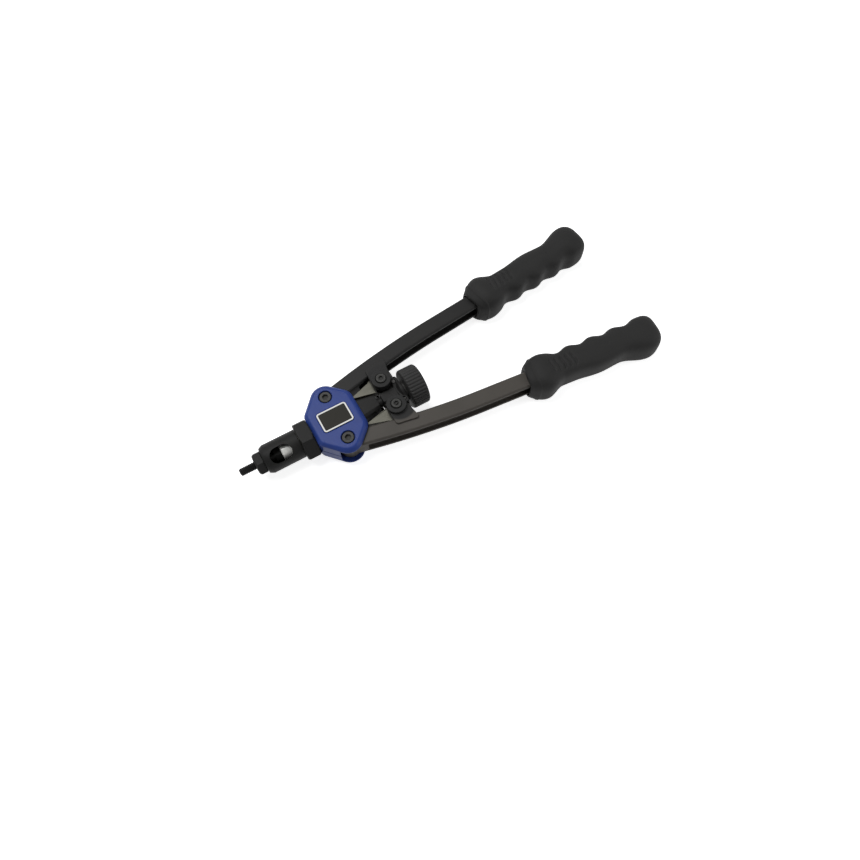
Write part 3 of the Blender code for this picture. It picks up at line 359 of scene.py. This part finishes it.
# Name plate: a thin black plate let into the top of the head, with a narrow
# white line printed round its edge and the middle left bare.
PLATE_MIDDLE = PIVOT_X - 1.1 * MM
PLATE_HALF = (12.1 * MM, 8.45 * MM)
LINE_FROM_EDGE = 0.15 * MM
LINE_WIDTH = 1.1 * MM
LINE_CORNER = 2.2 * MM
LINE_BLUR = 0.04 * MM

plate = Finish("plate_enamel", Roughness=0.55, Specular_IOR_Level=0.15)
x, y, z = plate.parts(plate.place())
reach_x = abs(x - PLATE_MIDDLE) - (PLATE_HALF[0] - LINE_CORNER)
reach_y = abs(y) - (PLATE_HALF[1] - LINE_CORNER)
corner = reach_x.at_least(0.0).hypotenuse(reach_y.at_least(0.0))
inner = reach_x.at_least(reach_y)
inside = corner - LINE_CORNER + inner.maths("MINIMUM", inner, 0.0)
line_middle = -LINE_FROM_EDGE - LINE_WIDTH / 2
line = 1.0 - abs(inside - line_middle).above(LINE_WIDTH / 2, LINE_BLUR)
plate.colour(line, (0.010, 0.009, 0.006, 1.0), (0.80, 0.80, 0.78, 1.0))
plate.bump(line, 0.03 * MM)
softened("name_plate", plate, 0.15)

# Pivot screws, ear screws and nuts: socket head screws and hexagon nuts in
# black oxide, a thin finish over machined steel. The sockets carry painted shade.
SOCKET_RADIUS = 2.5 * MM

oxide = Finish("black_oxide", Metallic=0.2, Specular_IOR_Level=0.3)
grain = oxide.noise(700.0)
steel = oxide.blend(grain, (0.012, 0.012, 0.011, 1.0), (0.026, 0.026, 0.024, 1.0))
x, y, z = oxide.parts(oxide.place())
# Painted shade: the screws' sockets are coloured near black.
socket_shade = 0.0
for node in ("left_pivot_screw", "right_pivot_screw", "left_ear_screw", "right_ear_screw"):
    low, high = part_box(node)
    from_x = x - (low[0] + high[0]) / 2
    from_y = y - (low[1] + high[1]) / 2
    away = from_x.hypotenuse(from_y)
    socket_shade = (1.0 - away.above(SOCKET_RADIUS, 0.2 * MM)).at_least(socket_shade)
oxide.colour(socket_shade, steel, (0.004, 0.004, 0.003, 1.0))
oxide.set(Roughness=0.4 + 0.2 * grain)
oxide.bump(grain, 0.02 * MM)
for side, sign in SIDES:
    for part in ("_pivot_screw", "_ear_screw", "_pivot_nut", "_ear_nut"):
        softened(side + part, oxide, 0.22)

# Nose collar, cage and nosepiece: turned and milled steel, coated black. The
# cage has a sight window, through which the mandrel's sleeve shows.
PORE_SCALE = 1100.0
PORE_DEPTH = 0.05 * MM

nose_coat = Finish("nose_coating", Specular_IOR_Level=0.12)
pores = nose_coat.noise(PORE_SCALE, 2.0)
cloud = nose_coat.noise(45.0)
nose_coat.colour(cloud, (0.006, 0.006, 0.006, 1.0), (0.010, 0.0098, 0.0095, 1.0))
nose_coat.set(Roughness=0.46 + 0.14 * pores)
nose_coat.bump(pores, PORE_DEPTH, 0.5)
softened("nose_collar", nose_coat, 0.4)
softened("nose_cage", nose_coat, 0.25)
softened("nosepiece", nose_coat, 0.3)

# Mandrel: a hardened steel stud with a quarter inch thread at its front, on
# which a rivet nut is spun, and a hexagon inside the cage. Sizes in mm.
MANDREL_RADIUS = 3.175
THREAD_PITCH = 1.27
THREAD_DEPTH = 0.55
MANDREL_TIP = -80.2
THREAD_END = -58.0
TIP_CHAMFER = 0.8
THREAD_CORE = 2.0
MANDREL_SHANK = 2.5
STUD_STEP = 0.16
STUD_SIDES = 40
HEX_FRONT = -52.5
HEX_BACK = -47.6
HEX_RADIUS = 8.4 / math.sqrt(3.0)
STUD_SHOULDER = HEX_FRONT + 1.0
SHANK_BACK = -39.3
RIB_FADE = 0.6 * MM


class Shaper(Tree):
    """A Geometry Nodes tree with named sizes, which ends in a material."""

    def __init__(self, name, *sizes):
        super().__init__(bpy.data.node_groups.new(name, "GeometryNodeTree"))
        socket = self.tree.interface.new_socket
        socket("Geometry", in_out="INPUT", socket_type="NodeSocketGeometry")
        for size in sizes:
            socket(size, in_out="INPUT", socket_type="NodeSocketFloat")
        socket("Material", in_out="INPUT", socket_type="NodeSocketMaterial")
        socket("Geometry", in_out="OUTPUT", socket_type="NodeSocketGeometry")
        self.source = self.tree.nodes.new("NodeGroupInput")

    def size(self, name):
        return Signal(self, self.source.outputs[name])

    def move(self, offset):
        """End the tree by moving the points of what went in."""
        sockets = {"Geometry": self.size("Geometry"), "Offset": offset}
        moved = self.add("GeometryNodeSetPosition", {}, sockets)
        whole = self.add("GeometryNodeRealizeInstances", {}, {"Geometry": moved})
        sockets = {"Geometry": whole, "Material": self.size("Material")}
        dressed = self.add("GeometryNodeSetMaterial", {}, sockets)
        self.feed(self.tree.nodes.new("NodeGroupOutput").inputs["Geometry"], dressed)

    def shape(self, mesh, finish, **sizes):
        thing = bpy.data.objects.new("blank", mesh)
        bpy.context.scene.collection.objects.link(thing)
        modifier = thing.modifiers.new("shape", "NODES")
        modifier.node_group = self.tree
        values = {**sizes, "Material": finish.material}
        for item in self.tree.interface.items_tree:
            if item.in_out == "INPUT" and item.name in values:
                modifier[item.identifier] = values[item.name]
        return evaluated(thing)


def spaced(profile, step):
    """A profile with extra points, so that none are further apart than a step."""
    points = []
    for (x, r), (next_x, next_r) in zip(profile, profile[1:]):
        count = max(1, math.ceil(math.hypot(next_x - x, next_r - r) / step))
        for i in range(count):
            share = i / count
            points.append((x + (next_x - x) * share, r + (next_r - r) * share))
    return points + [profile[-1]]


def turned(name, profile, steps, hollow=False):
    """A closed body turned about the tool's axis from (x, radius) points in mm."""
    form = bmesh.new()
    rings = []
    for x, radius in profile:
        ring = []
        for i in range(steps if radius > 0 else 1):
            angle = 2 * math.pi * i / steps
            across, up = radius * MM * math.cos(angle), radius * MM * math.sin(angle)
            ring.append(form.verts.new((PIVOT_X + x * MM, across, AXIS_HEIGHT + up)))
        rings.append(ring)
    if hollow:
        rings.append(rings[0])
    for near, far_ring in zip(rings, rings[1:]):
        for i in range(steps):
            corners = []
            for ring, index in ((near, i), (near, i + 1), (far_ring, i + 1), (far_ring, i)):
                corner = ring[index % len(ring)]
                if corner not in corners:
                    corners.append(corner)
            if len(corners) > 2:
                form.faces.new(corners)
    return outward(form, name)


ribbed = Shaper("ribbed", "Axis", "Around", "Along", "Depth", "Groove", "From", "To", "Inner")
x, y, z = ribbed.parts(ribbed.add("GeometryNodeInputPosition", {}, {}))
up = z - ribbed.size("Axis")
radius = y.hypotenuse(up)
angle = up.maths("ARCTAN2", up, y) / (2 * math.pi)
turns = ribbed.size("Around") * angle + ribbed.size("Along") * x
ramp = abs(2.0 * turns.maths("FRACT", turns) - 1.0)
groove = ramp.between(1.0 - ribbed.size("Groove"), 1.0)
after = x.between(ribbed.size("From"), ribbed.size("From") + RIB_FADE)
before = x.between(ribbed.size("To"), ribbed.size("To") - RIB_FADE)
outer = radius.maths("GREATER_THAN", radius, ribbed.size("Inner"))
cut = ribbed.size("Depth") * groove * after * before * outer / radius
shift = ribbed.add("ShaderNodeCombineXYZ", {}, {0: 0.0, 1: 0.0 - y * cut, 2: 0.0 - up * cut})
ribbed.move(shift)

fine_front = spaced([
    (MANDREL_TIP, 0.0), (MANDREL_TIP, MANDREL_RADIUS - TIP_CHAMFER),
    (MANDREL_TIP + TIP_CHAMFER, MANDREL_RADIUS), (STUD_SHOULDER, MANDREL_RADIUS)], STUD_STEP)
stud = turned("stud", fine_front + [
    (STUD_SHOULDER, MANDREL_SHANK), (SHANK_BACK, MANDREL_SHANK), (SHANK_BACK, 0.0)], STUD_SIDES)
stud = ribbed.shape(
    stud, nose_coat, Axis=AXIS_HEIGHT, Around=1.0, Along=1 / (THREAD_PITCH * MM),
    Depth=THREAD_DEPTH * MM, Groove=1.0, From=PIVOT_X + (MANDREL_TIP - 1) * MM,
    To=PIVOT_X + THREAD_END * MM, Inner=THREAD_CORE * MM)
hexagon = turned("hexagon", [
    (HEX_FRONT, 0.0), (HEX_FRONT, HEX_RADIUS), (HEX_BACK, HEX_RADIUS), (HEX_BACK, 0.0)], 6)
form = bmesh.new()
form.from_mesh(stud)
form.from_mesh(hexagon)
form.to_mesh(stud)
form.free()
stud.shade_smooth()
stud.set_sharp_from_angle(angle=math.radians(50))
fitted("mandrel_threaded", stud, nose_coat, "mandrel")

# Arms: forged steel bars of H section with their ears, coated a satin charcoal
# black. The right arm gets a painted sheen, browner and lighter, and both arms
# get painted shade round their ears.
ARM_ROOT_ANGLE = math.radians(14.3)
ARM_TAIL_ANGLE = math.radians(5.8)
ARM_BEND = 110.0
ARM_END = 143.5
ARM_HALF = (6.7, 7.4)
ARM_EDGE = 1.2
ARM_PAST_END = 4.5
GROOVE_HALF_HEIGHT = 4.2
GROOVE_FLOORS = (-1.7, 3.3)
EAR_SHADE_PLACE = (45.8, -6.7)
EAR_SHADE_REACH = 13.0


def arm_line(distance):
    """A point of the arm's middle line and the way across it, from its pivot."""
    steps = 40
    x = y = 0.0
    for i in range(steps):
        share = min((i + 0.5) * distance / steps / ARM_BEND, 1.0)
        angle = ARM_ROOT_ANGLE + (ARM_TAIL_ANGLE - ARM_ROOT_ANGLE) * share
        x += distance / steps * math.cos(angle)
        y += distance / steps * math.sin(angle)
    angle = ARM_ROOT_ANGLE + (ARM_TAIL_ANGLE - ARM_ROOT_ANGLE) * min(distance / ARM_BEND, 1.0)
    return Vector((x, y, 0.0)), Vector((-math.sin(angle), math.cos(angle), 0.0))


def on_arm(distance, across, up, sign):
    """A place in the scene for a distance along an arm, across it and up, in mm."""
    middle, outwards = arm_line(distance)
    place = (middle + outwards * across) * MM
    return Vector((PIVOT_X + place.x, sign * (PIVOT_Y + place.y), AXIS_HEIGHT + up * MM))


def along_arm(name, start, end, outline, sign):
    """A bar that follows an arm's bend, from its outline of (across, up) points."""
    stations = [start + (end - start) * i / 4 for i in range(5)]
    return block(name, [[on_arm(s, a, up, sign) for a, up in outline] for s in stations])


arm_coat = Finish("charcoal_coating", Specular_IOR_Level=0.15)
cloud = arm_coat.noise(35.0)
streaks = arm_coat.noise(260.0, 3.0, (0.25, 1.0, 1.0))
pores = arm_coat.noise(PORE_SCALE, 2.0)
x, y, z = arm_coat.parts(arm_coat.place())
# Painted sheen: the right arm's coat is coloured browner and lighter.
sheen_side = (0.0 - y).above(0.0, 5 * MM)
dull = arm_coat.blend(cloud, (0.009, 0.009, 0.009, 1.0), (0.017, 0.0165, 0.016, 1.0))
sheen_coat = arm_coat.blend(cloud, (0.048, 0.044, 0.039, 1.0), (0.078, 0.071, 0.063, 1.0))
coat = arm_coat.blend(sheen_side, dull, sheen_coat)
# Painted shade: the coat goes near black round both arms' ears.
from_x = x - (PIVOT_X + EAR_SHADE_PLACE[0] * MM)
from_y = abs(y) - (PIVOT_Y + EAR_SHADE_PLACE[1] * MM)
ear_shade = 1.0 - from_x.hypotenuse(from_y).above(EAR_SHADE_REACH * MM, 0.8 * MM)
arm_coat.colour(ear_shade, coat, (0.009, 0.009, 0.009, 1.0))
arm_coat.set(Roughness=0.42 + 0.1 * pores + 0.08 * streaks)
arm_coat.bump(pores + streaks, PORE_DEPTH, 0.5)
wide, high = ARM_HALF
edge = ARM_EDGE
bar = [
    (wide - edge, high), (wide, high - edge), (wide, edge - high), (wide - edge, -high),
    (edge - wide, -high), (-wide, edge - high), (-wide, high - edge), (edge - wide, high)]
room = GROOVE_HALF_HEIGHT
inner, outer = GROOVE_FLOORS
past_end = ARM_END + ARM_PAST_END
for side, sign in SIDES:
    grooves = []
    for near, far_side in ((-2 * wide, inner), (outer, 2 * wide)):
        slot = [(near, -room), (far_side, -room), (far_side, room), (near, room)]
        grooves.append(along_arm("groove", ARM_END - 6.0, past_end + 1.0, slot, sign))
    bar_end = along_arm("bar_end", ARM_END - 2.0, past_end, bar, sign)
    softened(side + "_arm", arm_coat, 0.45, 0.12, [bar_end], grooves)

# Crosshead, guide tube and shaft: the block that the arms' ears drive back,
# the tube that guides the shaft, and under it a thin dark lip that stands as
# painted shade, all coated black.
# Painted shade: a thin dark sheet under the tube fills the gaps where only shade shows.
TUBE_SHADE_LIP = (
    (12.6, 9.6), (24.0, 11.5), (31.0, 11.0), (35.2, 7.5), (36.0, 5.0), (36.8, 3.9), (37.3, 3.2))
TUBE_SHADE_LIP_LOW = -8.9
TUBE_SHADE_LIP_HIGH = -6.6

dark_coat = Finish("dark_coating", Specular_IOR_Level=0.13)
pores = dark_coat.noise(PORE_SCALE, 2.0)
cloud = dark_coat.noise(60.0)
dark_coat.colour(cloud, (0.007, 0.007, 0.007, 1.0), (0.014, 0.0135, 0.013, 1.0))
dark_coat.set(Roughness=0.42 + 0.14 * pores)
dark_coat.bump(pores, PORE_DEPTH, 0.5)
softened("crosshead", dark_coat, 0.45, 0.08)
low, high = TUBE_SHADE_LIP_LOW, TUBE_SHADE_LIP_HIGH
shade_lip = []
for x, reach in TUBE_SHADE_LIP:
    corners = ((-reach, low), (reach, low), (reach, high), (-reach, high))
    shade_lip.append([(PIVOT_X + x * MM, y * MM, AXIS_HEIGHT + z * MM) for y, z in corners])
softened("guide_tube", dark_coat, 0.3, added=[block("shade_lip", shade_lip)])
softened("pull_shaft", dark_coat, 0.2)

# Slide plates, pins, bushes, rollers and washer: plain ground steel, greyish
# olive from its oil. Behind the crosshead's nose the plates are painted dark, as
# painted shade.
SHADE_FROM = 36.5
DRAWN_FROM = 30.0
DRAWN_TO = 39.5
DRAWN_INNER = 14.2
DRAWN_OUTER = 18.0
DRAWN_FORWARD = 2.5
DRAWN_OUT = 2.6


def drawn_out(place):
    """Draw the outer corner of a slide plate out towards its arm."""
    if DRAWN_FROM * MM < place.x - PIVOT_X < DRAWN_TO * MM:
        if DRAWN_INNER * MM < abs(place.y) < DRAWN_OUTER * MM:
            place.x -= DRAWN_FORWARD * MM
            place.y += math.copysign(DRAWN_OUT * MM, place.y)


bare = Finish("bare_steel", Metallic=0.6)
lines = bare.noise(60.0, 2.0, (1.0, 25.0, 25.0))
tint = bare.noise(55.0)
x, y, z = bare.parts(bare.place())
# Painted shade: the steel is coloured dark from the crosshead's nose back.
shaded_behind = x.above(PIVOT_X + SHADE_FROM * MM, 0.5 * MM)
metal = bare.blend(tint, (0.043, 0.042, 0.032, 1.0), (0.092, 0.089, 0.071, 1.0))
bare.colour(shaded_behind, metal, (0.022, 0.021, 0.020, 1.0))
bare.set(Roughness=0.36 + 0.18 * lines)
bare.bump(lines, 0.02 * MM)
for side, sign in SIDES:
    softened(side + "_slide_plate", bare, 0.2, 0.05, reshape=drawn_out)
    for part in ("_slide_pin", "_pivot_bush", "_ear_roller"):
        softened(side + part, bare, 0.15)
softened("thrust_washer", bare, 0.1)
softened("nose_housing", bare, 0.2, 0.05)

# Mandrel sleeve: turned from bright bar, so its tool marks run round the axis.
# It is seen through the sight window of the cage.
bright = Finish("bright_steel", Metallic=0.1)
rings = bright.noise(70.0, 2.0, (40.0, 1.0, 1.0))
# Painted reflection: the near-white colour, with little metal, stands in for the steel's shine.
bright.colour(rings, (0.67, 0.67, 0.64, 1.0), (0.78, 0.78, 0.75, 1.0))
bright.set(Roughness=0.26 + 0.2 * rings)
bright.bump(rings, 0.02 * MM)
softened("mandrel_sleeve", bright, 0.25)

# Knob: coated steel with 36 straight ribs round its rim, screwed to the
# shaft's tail. Its grooves are cut by the same tree as the mandrel's thread.
KNOB_RADIUS = 16.0
KNOB_FRONT = 57.5
KNOB_BACK = 71.9
KNOB_BORE = 3.3
KNOB_RIBS = 36
KNOB_GROOVE_DEPTH = 0.6
KNOB_STEP = 0.8
KNOB_SIDES = KNOB_RIBS * 8
KNOB_PROFILE = [
    (KNOB_FRONT, KNOB_BORE), (KNOB_FRONT, KNOB_RADIUS - 1.9), (KNOB_FRONT + 0.3, KNOB_RADIUS - 0.9),
    (KNOB_FRONT + 0.9, KNOB_RADIUS - 0.25), (KNOB_FRONT + 1.6, KNOB_RADIUS),
    (KNOB_BACK - 1.6, KNOB_RADIUS), (KNOB_BACK - 0.9, KNOB_RADIUS - 0.25),
    (KNOB_BACK - 0.3, KNOB_RADIUS - 0.9), (KNOB_BACK, KNOB_RADIUS - 1.9),
    (KNOB_BACK, 10.0), (KNOB_BACK - 0.4, 9.5), (KNOB_BACK - 3.2, 8.0), (KNOB_BACK - 3.2, KNOB_BORE)]

knob_coat = Finish("knob_coating", Specular_IOR_Level=0.2)
pores = knob_coat.noise(900.0, 2.0)
cloud = knob_coat.noise(50.0)
knob_coat.colour(cloud, (0.014, 0.014, 0.014, 1.0), (0.024, 0.0235, 0.023, 1.0))
knob_coat.set(Roughness=0.45 + 0.14 * pores)
knob_coat.bump(pores, PORE_DEPTH, 0.5)
blank = turned("knob_blank", spaced(KNOB_PROFILE, KNOB_STEP), KNOB_SIDES, hollow=True)
knob = ribbed.shape(
    blank, knob_coat, Axis=AXIS_HEIGHT, Around=float(KNOB_RIBS), Along=0.0,
    Depth=KNOB_GROOVE_DEPTH * MM, Groove=0.55, From=PIVOT_X + (KNOB_FRONT + 0.2) * MM,
    To=PIVOT_X + (KNOB_BACK - 0.2) * MM, Inner=(KNOB_RADIUS - 1.5) * MM)
knob.shade_smooth()
knob.set_sharp_from_angle(angle=math.radians(40))
fitted("knob_ribbed", knob, knob_coat, "knob")
softened("knob_screw", oxide, 0.2)

# Grips: moulded black rubber pushed over the arms' tangs, with four finger
# hollows on the inner side, a flange at the front, a slanted mouth and a field
# of five wavy grooves for the thumb. Sizes in mm, from the mouth along the arm.
GRIP_LENGTH = 116.0
GRIP_SIDES = 96
GRIP_SQUARENESS = 3.1
FLANGE_CENTRE = 14.0
FLANGE_LENGTH = 32.0
CLUB_CENTRE = 105.0
CLUB_LENGTH = 48.0
FINGER_REACH = 14.1
FINGER_FLANGE = 1.9
FINGER_COUNT = 4
FINGER_DEPTH = 2.7
FINGER_FIRST = 32.0
FINGER_PITCH = 20.3
PALM_REACH = 11.3
PALM_FLANGE = 5.2
PALM_SWELL = 1.8
PALM_SWELL_CENTRE = 62.0
PALM_SWELL_LENGTH = 44.0
PALM_CLUB = 5.4
WAIST_HALF_HEIGHT = 13.4
HIGHER_BY = 2.6
FRONT_SLOPE = 5.0
FRONT_SCALE = 0.80
FRONT_SLANT = 3.2
SLANT_LENGTH = 22.0
SLANT_REACH = 14.0
BEAD_HEIGHT = 0.4
BEAD_LENGTH = 3.0
END_ROUND = 12.0
END_SCALE = 0.42
MOUTH_HALF_WIDTH = 7.5
MOUTH_HALF_HEIGHT = 8.3
MOUTH_DEPTH = 3.5
MOUTH_SQUARENESS = 7.0
MOUTH_EDGE = 0.4
GRIP_LAYERS = ("along", "across", "flat")
THUMB_LEAN = 0.03
THUMB_WAVE = 0.5 * MM
THUMB_WAVE_TURN = 600.0
THUMB_MIDDLE = 0.8 * MM
THUMB_FADE = 1.2 * MM
THUMB_GROOVES = {
    "Count": 5.0, "First": 19.0 * MM, "Pitch": 4.7 * MM, "Depth": 1.3 * MM, "Reach": 6.4 * MM}


def hump(position, centre, length):
    """A smooth hump of height 1 about a centre, 0 past half its length."""
    share = abs(position - centre) / (length / 2)
    return 0.5 + 0.5 * math.cos(math.pi * share) if share < 1.0 else 0.0


def grip_size(s):
    """Reach towards the fingers, towards the palm and upwards, at s mm."""
    flange = hump(s, FLANGE_CENTRE, FLANGE_LENGTH)
    club = hump(s, CLUB_CENTRE, CLUB_LENGTH)
    swell = hump(s, PALM_SWELL_CENTRE, PALM_SWELL_LENGTH)
    fingers = FINGER_REACH + FINGER_FLANGE * flange
    for i in range(FINGER_COUNT):
        fingers -= FINGER_DEPTH * hump(s, FINGER_FIRST + FINGER_PITCH * i, FINGER_PITCH)
    palm = PALM_REACH + PALM_FLANGE * flange + PALM_SWELL * swell + PALM_CLUB * club
    high = WAIST_HALF_HEIGHT + HIGHER_BY * max(flange, club)
    scale = 1.0
    if s < FRONT_SLOPE:
        scale = FRONT_SCALE + (1.0 - FRONT_SCALE) * (s / FRONT_SLOPE) ** 0.6
    left = GRIP_LENGTH - s
    if left < END_ROUND:
        rise = (1.0 - (1.0 - left / END_ROUND) ** 3.0) ** (1 / 3.0)
        scale = END_SCALE + (1.0 - END_SCALE) * rise
    bead = BEAD_HEIGHT * hump(s, FRONT_SLOPE + 0.6, BEAD_LENGTH)
    return [size * scale + bead for size in (fingers, palm, high)]


def grip_ring(s, sizes, squareness):
    """Points of one section, each with its own reach across and how flat it is."""
    fingers, palm, high = sizes
    middle, outwards = arm_line(ARM_END + s)
    forwards = Vector((outwards.y, -outwards.x, 0.0))
    slant = FRONT_SLANT * max(0.0, 1.0 - s / SLANT_LENGTH)
    ring = []
    for i in range(GRIP_SIDES):
        angle = 2 * math.pi * (i + 0.5) / GRIP_SIDES
        c, t = math.cos(angle), math.sin(angle)
        across = math.copysign(abs(c) ** (2 / squareness), c) * (palm if c > 0 else fingers)
        up = math.copysign(abs(t) ** (2 / squareness), t) * high
        later = forwards * slant * max(0.0, -across / SLANT_REACH)
        place = middle + later + outwards * across + Vector((0.0, 0.0, up))
        ring.append((place, s, across, abs(t)))
    return ring


def grip_stations():
    """Distances of the rings: close at the front and the thumb, and at the end."""
    stations = [0.0, 0.3, 0.8, 1.5, 2.4, 3.3]
    stations += [4.0 + 0.4 * i for i in range(100)]
    stations += [44.0 + 1.2 * i for i in range(51)]
    for share in (0.06, 0.2, 0.35, 0.5, 0.62, 0.73, 0.82, 0.89, 0.94, 0.975, 0.993, 1.0):
        stations.append(GRIP_LENGTH - END_ROUND + END_ROUND * share)
    return stations


def grip_blank(name, sign):
    """A smooth grip, whose points carry where they lie for the thumb's grooves."""
    mouth = (MOUTH_HALF_WIDTH, MOUTH_HALF_WIDTH, MOUTH_HALF_HEIGHT)
    rings = [grip_ring(s, mouth, MOUTH_SQUARENESS) for s in (MOUTH_DEPTH, 1.0, 0.4)]
    rings.append(grip_ring(0.0, [size + MOUTH_EDGE for size in mouth], MOUTH_SQUARENESS))
    rings += [grip_ring(s, grip_size(s), GRIP_SQUARENESS) for s in grip_stations()]
    form = bmesh.new()
    layers = [form.verts.layers.float.new(word) for word in GRIP_LAYERS]
    rows = []
    for ring in rings:
        row = []
        for place, *facts in ring:
            where = Vector((place.x, sign * place.y, place.z)) * MM
            vertex = form.verts.new(where + Vector((PIVOT_X, sign * PIVOT_Y, AXIS_HEIGHT)))
            for layer, fact, unit in zip(layers, facts, (MM, MM, 1.0)):
                vertex[layer] = fact * unit
            row.append(vertex)
        rows.append(row)
    skin_over(form, rows)
    return outward(form, name)


moulded = Shaper("moulded_grooves", "Count", "First", "Pitch", "Depth", "Reach")
along, across, flat = [
    moulded.add("GeometryNodeInputNamedAttribute", {"data_type": "FLOAT"}, {"Name": word}, "Attribute")
    for word in GRIP_LAYERS]
wave = THUMB_WAVE * across.maths("SINE", across * THUMB_WAVE_TURN)
number = (along - THUMB_LEAN * across - wave - moulded.size("First")) / moulded.size("Pitch")
started = number.maths("GREATER_THAN", number, 0.0)
unfinished = number.maths("LESS_THAN", number, moulded.size("Count"))
trough = 0.5 - 0.5 * number.maths("COSINE", 2 * math.pi * number)
reach = moulded.size("Reach")
ends = abs(across - THUMB_MIDDLE).between(reach, reach - THUMB_FADE)
depth = moulded.size("Depth") * trough * trough * started * unfinished * ends * flat.above(0.55, 0.1)
sinking = {0: moulded.add("GeometryNodeInputNormal", {}, {}), "Scale": 0.0 - depth}
moulded.move(moulded.add("ShaderNodeVectorMath", {"operation": "SCALE"}, sinking))

rubber = Finish("grip_rubber", Specular_IOR_Level=0.17)
grain = rubber.noise(1400.0, 2.0)
dust = rubber.noise(30.0)
rubber.colour(dust, (0.012, 0.012, 0.012, 1.0), (0.020, 0.020, 0.0195, 1.0))
rubber.set(Roughness=0.58 + 0.16 * grain)
rubber.bump(grain, 0.08 * MM, 0.6)
for side, sign in SIDES:
    mesh = moulded.shape(grip_blank(side + "_blank", sign), rubber, **THUMB_GROOVES)
    for word in GRIP_LAYERS:
        mesh.attributes.remove(mesh.attributes[word])
    mesh.shade_smooth()
    mesh.set_sharp_from_angle(angle=math.radians(50))
    fitted(side + "_grip_moulded", mesh, rubber, side + "_grip")
